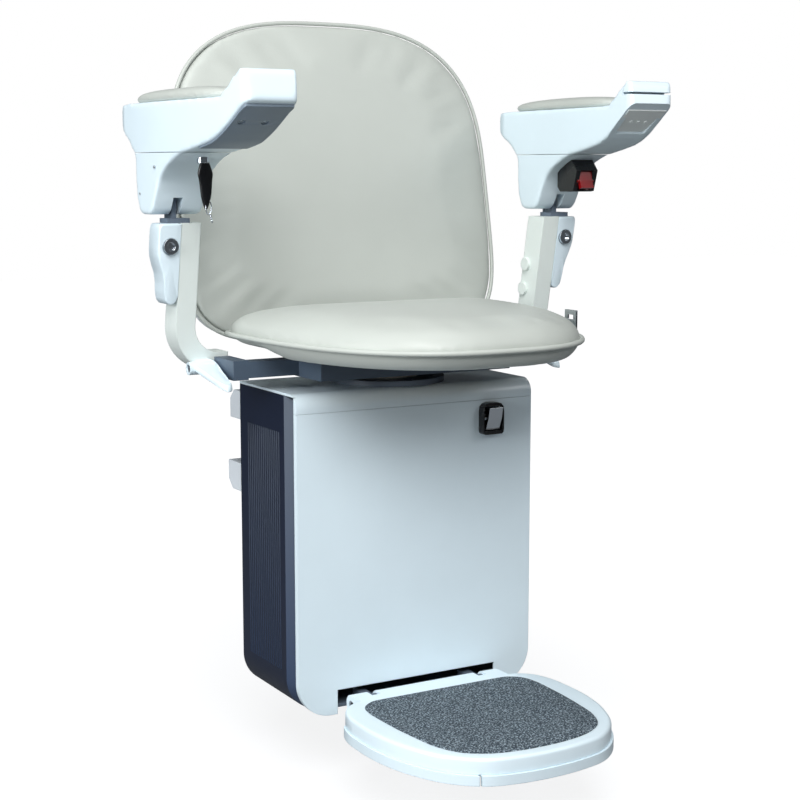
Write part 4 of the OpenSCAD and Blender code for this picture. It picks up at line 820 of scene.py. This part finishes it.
# Outline from the side, as smooth runs between corners: shares of the length, and heights over the seam
RUNS = [
    [(0.174, -55), (0.167, -36), (0.166, -19), (0.158, -3), (0.14, 3.6), (0.088, 17.6), (0.04, 25.5),
     (0.012, 33.4), (0, 43), (0.01, 51), (0.035, 56.4), (0.07, 58.8), (0.1, ARM_FLAT)],
    [(0.78, ARM_FLAT), (0.805, 59.4), (0.84, 63.4), (0.9, 75.7), (0.945, 85), (0.965, 87.7), (0.975, 87.2)],
    [(0.984, 83.6), (1.0, 54.6)],
    [(0.993, 52), (0.979, 50.2), (0.94, 43), (0.902, 35), (0.862, 27), (0.815, 19), (0.75, 11),
     (0.65, 4.4), (0.556, -1), (0.476, -9.5), (0.419, -19), (0.38, -29), (0.35, -44), (0.323, -61),
     (0.305, -69), (0.287, -73)],
    [(0.217, -73), (0.196, -70)],
]


def arm_mid(share):
    """X of an arm's middle line, which toes in towards the nose."""
    return ARM_X - TOE_IN * (max(0.0, share - TOE_FROM) / (1 - TOE_FROM)) ** TOE_POWER


def arm_y(share):
    return ARM_REAR - share * ARM_LEN


def arm_outline():
    return [(arm_y(t), ARM_SEAM + h) for run in RUNS for t, h in curve(run)]


def arm_plan(inset=0.0):
    half = ARM_W / 2 - inset
    rear = [(0.68, 0.0), (0.9, 0.018), (1, 0.06)]
    run = [(1, t) for t in np.linspace(0.1, 0.93, 22)]
    nose = [(1, 0.968), (0.93, 0.99), (0.76, 1.0)]
    share = inset / ARM_LEN
    edge = [(w, min(max(t, share), 1 - share)) for w, t in rear + run + nose]
    out = [(arm_mid(t) + w * half, arm_y(t)) for w, t in edge]
    return out + [(arm_mid(t) - w * half, arm_y(t)) for w, t in edge[::-1]]


def across(y0, y1, z0, z1, s=1):
    """A block right across an arm, as a cutter."""
    return block((ARM_INNER - 5, y0, z0), (ARM_OUTER + 5, y1, z1), s)


def take_toggle(body):
    """The top of the right nose, behind a narrow groove, is the direction toggle."""
    toggle = copy_of(body)
    cut(toggle, across(ARM_BEFORE, ARM_BEHIND, ARM_FLOOR, TOGGLE_LOW))
    cut(toggle, across(TOGGLE_REAR, ARM_BEHIND, ARM_FLOOR, ARM_CEILING))
    cut(body, across(ARM_BEFORE, TOGGLE_REAR + TOGGLE_GAP, TOGGLE_LEDGE, ARM_CEILING))
    finished(toggle, "toggle_cover", "white_shell", "toggle", ["direction_toggle"])


def open_window(shell):
    """The right nose rises underneath, and has a window in front of the control pod."""
    start, end, low = arm_y(RISE_START), arm_y(RISE_END), ARM_SEAM + 1
    under = [(start, ARM_SEAM + RISE_LOW), (end, ARM_SEAM + RISE_HIGH), (end, low), (start, low)]
    cut(shell, side_prism(under, ARM_INNER - 5, ARM_OUTER + 5))
    opening = [(arm_mid(t) + x, arm_y(t)) for t, x in WINDOW]
    cut(shell, rounded(plan_prism(opening, ARM_SEAM, WINDOW_TOP), WINDOW_ROUND, 4))


def make_arm(s, name):
    body = side_prism(arm_outline(), ARM_INNER, ARM_OUTER, s)
    common(body, plan_prism(arm_plan(), ARM_FLOOR, ARM_CEILING, s))
    swell(body, 2.0, 12)
    if s > 0:
        take_toggle(body)
    shell = body
    housing = copy_of(body)
    cut(shell, across(ARM_BEFORE, ARM_BEHIND, ARM_FLOOR, ARM_SEAM + SEAM_GAP, s))
    cut(housing, across(ARM_BEFORE, ARM_BEHIND, ARM_SEAM - SEAM_GAP, ARM_CEILING, s))
    cut(housing, block((SLOT_IN, -SLOT_END, ARM_FLOOR), (SLOT_OUT, SLOT_END, SLOT_TOP), s))
    cut(housing, block((SLOT_IN, PIVOT_Y, ARM_FLOOR), (SLOT_OUT, SLOT_END, SLOT_REAR_TOP), s))
    finished(housing, "arm_housing_cover_" + name, "white_shell", "arm_" + name, ["arm_housing_" + name])
    if s > 0:
        open_window(shell)
    finished(shell, "arm_shell_cover_" + name, "white_shell", "arm_" + name, ["arm_shell_" + name])


for s, name in SIDES:
    make_arm(s, name)


# Plate under the nose of the left arm, with two screws sunk in it

PLATE_LINE = [(0.67, 6), (0.75, 11), (0.815, 19), (0.862, 27), (0.902, 35), (0.94, 43), (0.979, 49.6)]
PLATE_SINK, PLATE_T, PLATE_INSET = 1.2, 3.7, 3.0
SCREW_SHARE, SCREW_SHIFT, SCREW_APART, SCREW_RISE = 0.89, 4, 14, 32.6
RECESS_R, HEAD_R, KEY_HOLE_R = 4.2, 3.2, 1.5
NOSE_DOWN = np.array([0, -0.5, -0.866])


def make_nose_plate():
    top = [(arm_y(t), ARM_SEAM + h + PLATE_SINK) for t, h in curve(PLATE_LINE)]
    low = [(y, z - PLATE_T) for y, z in top[::-1]]
    plate = side_prism(top + low, ARM_INNER, ARM_OUTER, -1)
    common(plate, plan_prism(arm_plan(PLATE_INSET), 340, ARM_CEILING, -1))
    down = NOSE_DOWN
    for x, name in ((-SCREW_APART, "inner"), (SCREW_APART, "outer")):
        at = np.array([arm_mid(SCREW_SHARE) + SCREW_SHIFT + x, arm_y(SCREW_SHARE), ARM_SEAM + SCREW_RISE])
        cut(plate, rod(at - 1.2 * down, at + 6 * down, RECESS_R, -1))
        head = rounded(rod(at - 1.6 * down, at + 0.2 * down, HEAD_R, -1, 24), 0.5, 2)
        cut(head, rod(at - 0.9 * down, at + 2 * down, KEY_HOLE_R, -1, 6))
        finished(head, "nose_screw_" + name, "machine_steel", "arm_left")
    rounded(plate, 0.7, 2)
    finished(plate, "nose_plate_cover", "grey_plate", "arm_left", ["nose_plate"])


make_nose_plate()


# Small screw heads in the side of each housing that the photo shows

LEFT_FACE, RIGHT_FACE = -309.6, 245.4
SIDE_HEAD_R, SIDE_HEAD_OUT = 1.7, 0.6
LEFT_MARKS = ((-80.6, 352.1), (-33.5, 320.3))
RIGHT_MARKS = ((-79.1, 351.6), (-41.7, 319.1))


def make_side_screws(x, name, marks):
    for i, (y, z) in enumerate(marks):
        bar = rod((x - SIDE_HEAD_OUT, y, z), (x + SIDE_HEAD_OUT, y, z), SIDE_HEAD_R, 1, 20)
        head = rounded(bar, 0.25, 2)
        finished(head, "side_screw_" + name + str(i), "machine_steel", "arm_" + name)


make_side_screws(LEFT_FACE, "left", LEFT_MARKS)
make_side_screws(RIGHT_FACE, "right", RIGHT_MARKS)


# Arm pads, which follow the arm's toe-in

PAD_Y0, PAD_Y1, PAD_Z, PAD_H, PAD_W, PAD_POWER = 12.0, -231.0, 428.0, 15.0, 60.0, 3.4
PAD_SIDE = [(0.1, 0.0), (0.6, 0.0), (0.93, 0.0), (0.985, 0.12), (1.0, 0.3), (0.98, 0.5), (0.9, 0.7),
            (0.72, 0.86), (0.4, 0.94), (0.08, 0.96)]


def pad_ring(s, share, h):
    ring = []
    for a in around(72):
        y = (PAD_Y0 + PAD_Y1) / 2 + share * (PAD_Y0 - PAD_Y1) / 2 * power(math.sin(a), PAD_POWER)
        x = arm_mid((ARM_REAR - y) / ARM_LEN) + share * PAD_W / 2 * power(math.cos(a), PAD_POWER)
        ring.append((s * x, y, PAD_Z + h * PAD_H))
    return ring


def make_pad(s, name):
    rings = [pad_ring(s, share, h) for share, h in smooth_line(PAD_SIDE, 18)]
    pad = new_piece("arm_pad_cover_" + name, *loft(rings), "upholstery", None)
    stuff(pad, voxel=3, pressure=4, held=lambda p: p[2] < PAD_Z + 2, cap=3)
    smoothed(pad)
    upholstered(pad, "arm_" + name, "arm_pad_" + name)


for s, name in SIDES:
    make_pad(s, name)


# Footrest: a plate with a rounded shoulder, a rubber mat, and three safety skirts around its edge

FRONT_Y, FOOT_TOP, FOOT_LOW = -168.0, -294.5, -313.5
FOOT_HALF_W, FOOT_REACH, PLATE_WALL, POCKET_REAR = 150.0, 300.0, 3.5, -237.5
ROD_Y, ROD_Z, ROD_DROP, ROD_HOLE, TONGUE, TONGUE_REACH = -188.0, -306.5, 12.0, 5.1, 108.0, 46.0
LUG_X, LUG_HALF, LUG_AHEAD = 78, 6.3, 12
FOOT_SCREW_R, FOOT_SCREW_IN, FOOT_SCREW_OUT = 3.4, 0.4, 0.5
MAT_HALF_W, MAT_REAR, MAT_LONG, MAT_GAP, MAT_SINK = 120, 54, 230, 0.3, 1
MAT_MIDDLE, MAT_INNER = np.array([0, -340]), 0.6
SPLIT_X, NOTCH_X, SKIRT_END, SKIRT_GAP, SKIRT_H = -88.0, 129.0, 300, 2.6, 12
# How far the skirts' faces lie outside the footrest's edge, and where the bands start behind its front
SKIRT_OUT, SKIRT_IN, SKIRT_REAR = 2.5, -0.5, 66
LIP_OUT, LIP_IN, LIP_REAR, LIP_T = 1.5, -9.3, 78, 2
RIM_OUT, RIM_LOW, RIM_HIGH = -7.3, -1, 6
TAB_IN, TAB_SHARE, TAB_LOW, TAB_HIGH, TAB_R = 12, 0.62, -9, 8, 8.5
FOOT_HALF = [(0, 1), (0.27, 0.99), (0.52, 0.957), (0.75, 0.86), (0.9, 0.72), (0.985, 0.55), (1, 0.4),
             (0.98, 0.283), (0.91, 0.2), (0.8, 0.16), (0.72, 0.152)]
MAT_HALF = [(0, 1), (0.3, 0.99), (0.58, 0.95), (0.8, 0.865), (0.9, 0.76), (0.96, 0.58), (1, 0.28),
            (1, 0.16), (0.95, 0.06), (0.84, 0.012), (0.6, 0)]
SHOULDER = [(-0.6, 0.0), (0.0, 0.8), (0.0, 15.0), (-0.35, 16.6), (-1.3, 18.0), (-2.8, 18.8), (-4.6, 19.0)]
MAT_EDGE = [(0.0, -1.0), (0.0, 0.7), (-0.5, 1.2), (-1.6, 1.5)]


def whole_line(half, z, count):
    """A smooth closed outline from the knots of its right half."""
    knots = [(-x, y) for x, y in half[:0:-1]] + half
    return [(x, y, z) for x, y in even(curve(knots), count, closed=True)]


def foot_line(grow, z=0, count=150):
    half = [(s * (FOOT_HALF_W + grow), FRONT_Y - t * (FOOT_REACH + grow)) for s, t in FOOT_HALF]
    return whole_line(half, z, count)


def mat_line(grow, z=0, count=150):
    rear = FRONT_Y - MAT_REAR + grow
    half = [(s * (MAT_HALF_W + grow), rear - t * (MAT_LONG + 2 * grow)) for s, t in MAT_HALF]
    return whole_line(half, z, count)


def footrest_pocket():
    pocket = plan_prism(flat(foot_line(-2 * PLATE_WALL)), FOOT_LOW - 5, FOOT_TOP - PLATE_WALL)
    return cut(pocket, block((-200, POCKET_REAR, -330), (200, -100, -280)))


def make_footrest():
    plate = tool_shape(*loft([foot_line(g, FOOT_LOW + h) for g, h in SHOULDER]))
    joined(plate, block((-TONGUE, ROD_Y - TONGUE_REACH, ROD_Z - ROD_DROP), (TONGUE, ROD_Y, FOOT_TOP)))
    joined(plate, rod((-TONGUE, ROD_Y, ROD_Z), (TONGUE, ROD_Y, ROD_Z), ROD_DROP))
    cut(plate, footrest_pocket())
    for x in (-LUG_X, LUG_X):
        cut(plate, block((x - LUG_HALF, ROD_Y - LUG_AHEAD, -340), (x + LUG_HALF, FRONT_Y + 1, -280)))
    cut(plate, rod((-TONGUE - 12, ROD_Y, ROD_Z), (TONGUE + 12, ROD_Y, ROD_Z), ROD_HOLE))
    cut(plate, plan_prism(flat(mat_line(MAT_GAP)), FOOT_TOP - MAT_SINK, FOOT_TOP + 5))
    finished(plate, "footrest_plate_cover", "white_shell", "footrest", ["footrest_plate"])


def make_footrest_screw(s, name):
    y, z = ROD_Y - 3, ROD_Z + 1
    low, high = s * (TONGUE - FOOT_SCREW_IN), s * (TONGUE + FOOT_SCREW_OUT)
    end = rounded(rod((low, y, z), (high, y, z), FOOT_SCREW_R, 1, 24), 0.3, 2)
    finished(end, "footrest_screw_" + name, "black_plastic", "footrest")


def make_mat():
    rings = [mat_line(g, FOOT_TOP + h, 300) for g, h in MAT_EDGE]
    inner = np.array(rings[-1])
    inner[:, :2] = inner[:, :2] * MAT_INNER + MAT_MIDDLE * (1 - MAT_INNER)
    rings.append([tuple(p) for p in inner])
    mat = new_piece("footrest_mat_cover", *loft(rings), "mat_rubber", "footrest")
    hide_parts("footrest_mat")


def skirt_band(out, inner, rear, z0, z1):
    """A band between two outlines of the footrest, open at the rear."""
    ring = plan_prism(flat(foot_line(out)), z0, z1)
    cut(ring, plan_prism(flat(foot_line(inner)), z0 - 1, z1 + 1))
    return cut(ring, block((-300, FRONT_Y - rear, -400), (300, 0, -200)))


def make_skirt(name, x0, x1):
    skirt = skirt_band(SKIRT_OUT, SKIRT_IN, SKIRT_REAR, FOOT_LOW - SKIRT_H, FOOT_LOW)
    joined(skirt, skirt_band(LIP_OUT, LIP_IN, LIP_REAR, FOOT_LOW - LIP_T, FOOT_LOW))
    joined(skirt, skirt_band(RIM_OUT, LIP_IN, LIP_REAR, FOOT_LOW + RIM_LOW, FOOT_LOW + RIM_HIGH))
    common(skirt, block((x0, -600, -400), (x1, FRONT_Y, -200)))
    finished(skirt, "skirt_cover_" + name, "white_shell", "skirt_" + name[0], ["skirt_" + name])


def make_skirt_tab():
    """A thumb tab where the right skirt meets the front one."""
    x, y = NOTCH_X + TAB_IN, FRONT_Y - TAB_SHARE * FOOT_REACH
    tab = swell(rod((x, y, FOOT_LOW + TAB_LOW), (x, y, FOOT_LOW + TAB_HIGH), TAB_R), 1.2, 5)
    finished(tab, "skirt_tab", "white_shell", "skirt_r")


make_footrest()
for s, name in SIDES:
    make_footrest_screw(s, name)
make_mat()
make_skirt("left", -SKIRT_END, SPLIT_X)
make_skirt("front", SPLIT_X + SKIRT_GAP, NOTCH_X)
make_skirt("right", NOTCH_X + 2 * SKIRT_GAP, SKIRT_END)
make_skirt_tab()


# Hinge covers that clip over the top of the uprights, with a socket for the bolt

UPRIGHT_OUT, UPRIGHT_TOP, UPRIGHT_FRONT, UPRIGHT_LEAN = 275.3, 286.0, -78, 0.19
COVER_H, COVER_T, COVER_D, COVER_AHEAD = 99.0, 27.7, 33.5, 0.5
COVER_MID_X, COVER_MID_Z = UPRIGHT_OUT + 12, 245
BOLT_X, BOLT_Z, BOLT_SOCKET_R, BOLT_SOCKET_REAR, BOLT_HOLE_R = 288, 258, 10.1, -69, 4.6
COVER_GAP, POCKET_IN, POCKET_OUT = 0.3, 270, 282.2
COVER_SIDE = [(0, 0.985), (0.06, 1), (0.9, 1), (0.98, 0.97), (1, 0.9), (1, 0.68), (0.97, 0.6), (0.87, 0.5),
              (0.72, 0.385), (0.64, 0.27), (0.61, 0.15), (0.54, 0.055), (0.4, 0.008), (0.2, 0.005),
              (0.05, 0.04), (0, 0.1)]
# How far behind the front each ring of a cover lies, and how far it is drawn in
COVER_RINGS = ((0.0, 2.2), (0.6, 0.9), (2.0, 0.1), (3.4, 0.0), (COVER_D - 1.5, 0.0), (COVER_D, 1.0))
# The space for the pivot plate, seen from the side
COVER_POCKET = [(-67.3, 231.4), (-71.8, 290), (20, 290), (20, 231.4)]


def upright_front(z):
    return UPRIGHT_FRONT + UPRIGHT_LEAN * (UPRIGHT_TOP - z)


def cover_ring(outline, behind, inset):
    line = []
    for x, z in even(outline, 90, closed=True):
        away = math.hypot(x - COVER_MID_X, z - COVER_MID_Z)
        pull = inset / away if x > UPRIGHT_OUT + 0.2 else 0
        y = upright_front(z) - COVER_AHEAD + behind
        line.append((x + (COVER_MID_X - x) * pull, y, z + (COVER_MID_Z - z) * pull))
    return line


def make_hinge_cover(s, name):
    top = UPRIGHT_TOP - COVER_GAP
    outline = [(UPRIGHT_OUT + x * COVER_T, top - (1 - h) * COVER_H) for x, h in COVER_SIDE]
    cover = tool_shape(*loft([mirrored(cover_ring(outline, b, i), s) for b, i in COVER_RINGS]))
    cut(cover, side_prism(COVER_POCKET, POCKET_IN, POCKET_OUT, s))
    cut(cover, rod((BOLT_X, -120, BOLT_Z), (BOLT_X, BOLT_SOCKET_REAR, BOLT_Z), BOLT_SOCKET_R, s))
    cut(cover, rod((BOLT_X, -90, BOLT_Z), (BOLT_X, -30, BOLT_Z), BOLT_HOLE_R, s))
    finished(cover, "hinge_cover_" + name, "white_shell", "seat_base", ["hinge_covers"])


for s, name in SIDES:
    make_hinge_cover(s, name)


# Side levers under the seat: flat paddles, broad at the rod and narrow at the front

LEVER_X, LEVER_Y, LEVER_Z, LEVER_DIP, LEVER_LIFT = 240.0, -58.0, 108.0, math.radians(16), 3
LEVER_HUB, HUB_R, HUB_HOLE_R = (228, 262), 8, 5.1
LEVER_PLAN = [(-6, -13), (-13.5, -8), (-16, 4), (-14.5, 24), (-10, 48), (-5.5, 68), (-0.5, 77), (4.5, 74),
              (8, 60), (11.5, 36), (14.5, 12), (13.5, -6), (7, -13)]
# How far each ring of a paddle is drawn in, and its height; the last three make the raised rim
LEVER_RINGS = ((2.6, -4.6), (0.9, -4.0), (0.0, -2.4), (0.0, 1.6), (0.8, 3.4), (2.4, 4.4), (3.4, 3.5),
               (4.6, 3.5), (8.0, 3.9))


def lever_ring(s, plan, inset, height):
    middle = plan.mean(axis=0)
    up = height + LEVER_LIFT
    ring = []
    for x, v in plan:
        away = math.hypot(x - middle[0], v - middle[1])
        x, v = x + (middle[0] - x) * inset / away, v + (middle[1] - v) * inset / away
        ring.append((s * (LEVER_X - x),
                     LEVER_Y - v * math.cos(LEVER_DIP) + up * math.sin(LEVER_DIP),
                     LEVER_Z - v * math.sin(LEVER_DIP) + up * math.cos(LEVER_DIP)))
    return ring


def make_lever(s, name):
    plan = even(curve(LEVER_PLAN + LEVER_PLAN[:1])[:-1], 80, closed=True)
    lever = tool_shape(*loft([lever_ring(s, plan, inset, z) for inset, z in LEVER_RINGS]))
    x0, x1 = LEVER_HUB
    joined(lever, rod((x0, LEVER_Y, LEVER_Z), (x1, LEVER_Y, LEVER_Z), HUB_R, s))
    cut(lever, rod((x0 - 8, LEVER_Y, LEVER_Z), (x1 + 8, LEVER_Y, LEVER_Z), HUB_HOLE_R, s))
    finished(lever, "lever_cover_" + name, "white_shell", "levers", ["swivel_lever_" + name])


for s, name in SIDES:
    make_lever(s, name)


# Isolator switch: a hood with a rounded top around a tilted chrome rocker

HOOD_GAP_X, HOOD_GAP_Z, HOOD_REAR_T, HOOD_ROUND = 0.8, 1.5, 2, 1.2
HOOD_HALF = [(0.35, 1), (0.72, 0.96), (0.93, 0.87), (1, 0.72), (1, 0.14), (0.96, 0.05), (0.8, 0)]


def corners_mm(node_name):
    return [np.array(v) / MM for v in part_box(node_name)]


def make_isolator_hood():
    low, high = corners_mm("isolator_bezel")
    mid, half = (low[0] + high[0]) / 2, (high[0] - low[0]) / 2
    tall = high[2] - low[2]
    right = [(mid + half * u, low[2] + tall * v) for u, v in HOOD_HALF[::-1]]
    left = [(mid - half * u, low[2] + tall * v) for u, v in HOOD_HALF]
    hood = front_prism(right + left, low[1], high[1])
    face_low, face_high = corners_mm("isolator_rocker")
    cut(hood, block((face_low[0] - HOOD_GAP_X, low[1] - 5, face_low[2] - HOOD_GAP_Z),
                    (face_high[0] + HOOD_GAP_X, high[1] - HOOD_REAR_T, face_high[2] + HOOD_GAP_Z)))
    rounded(hood, HOOD_ROUND)
    finished(hood, "isolator_hood", "black_plastic", "carriage", ["isolator_bezel"])


make_isolator_hood()


# Key in the switch under the left arm: a black fob that hangs from the barrel, with a thin ring

FOB_LONG, FOB_THICK, FOB_SHIFT, FOB_POWER = 62.0, 3.4, 2, 2.6
FOB_SIDE = [(0.0, 3.6), (-0.06, 4.2), (-0.22, 7.4), (-0.34, 9.4), (-0.46, 8.2), (-0.62, 7.2), (-0.76, 6.2),
            (-0.9, 3.8), (-1.0, 1.6)]
FOB_BEND, FOB_BEND_OVER = 1.6, 2.2
COLLAR_OUT, COLLAR_IN = 0.6, 0.1
RING_FROM_FOB, RING_WIDE, RING_TALL, RING_LEAN, RING_WIRE = (5.5, -2.5, 2), 3.6, 8.5, 0.8, 0.7
BLADE_R, TEETH = 1.1, 0.35
BLADE_LINE = ((1, 0, -5), (2.2, 0, -9), (3.6, 0.2, -14), (4.6, 0.3, -18))


def fob_ring(x, y, top, h, half):
    bent = FOB_BEND * math.sin(-h / FOB_LONG * FOB_BEND_OVER)
    return [(x + FOB_SHIFT + bent + half * power(math.cos(a), FOB_POWER),
             y + min(half, FOB_THICK) * power(math.sin(a), FOB_POWER), top + h) for a in around(28)]


def make_key():
    low, high = corners_mm("key")
    x, y, top = (low[0] + high[0]) / 2, (low[1] + high[1]) / 2, high[2]
    side = smooth_line([(h * FOB_LONG, w) for h, w in FOB_SIDE], 26)
    rings = [fob_ring(x, y, top, h, w) for h, w in side]
    fob = new_piece("key_fob", *loft(rings), "black_plastic", "key_turn")
    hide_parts("key")
    make_key_collar(y, top)
    hang = np.array([x, y, top - FOB_LONG]) + np.array(RING_FROM_FOB)
    loop = [hang + np.array([RING_WIDE * math.sin(a), RING_LEAN * math.cos(a), RING_TALL * math.cos(a)])
            for a in around(40)]
    tube("key_ring", loop, RING_WIRE, "chrome_trim", "key_turn", closed=True, sides=8)
    blade = smooth_line([tuple(hang + np.array(d)) for d in BLADE_LINE], 20)
    teeth = [BLADE_R + TEETH * math.cos(i * 1.6) for i in range(20)]
    tube("key_blade", blade, teeth, "chrome_trim", "key_turn", sides=8)


def make_key_collar(y, top):
    """A black sleeve around the key barrel."""
    low, high = corners_mm("key_barrel")
    r = (high[0] - low[0]) / 2
    x = low[0] + r
    collar = rod((x, y, top + 1.5), (x, y, low[2] + 9), r + COLLAR_OUT)
    cut(collar, rod((x, y, top - 9), (x, y, low[2] + 30), r + COLLAR_IN))
    finished(collar, "key_collar", "black_plastic", "arm_left")


make_key()
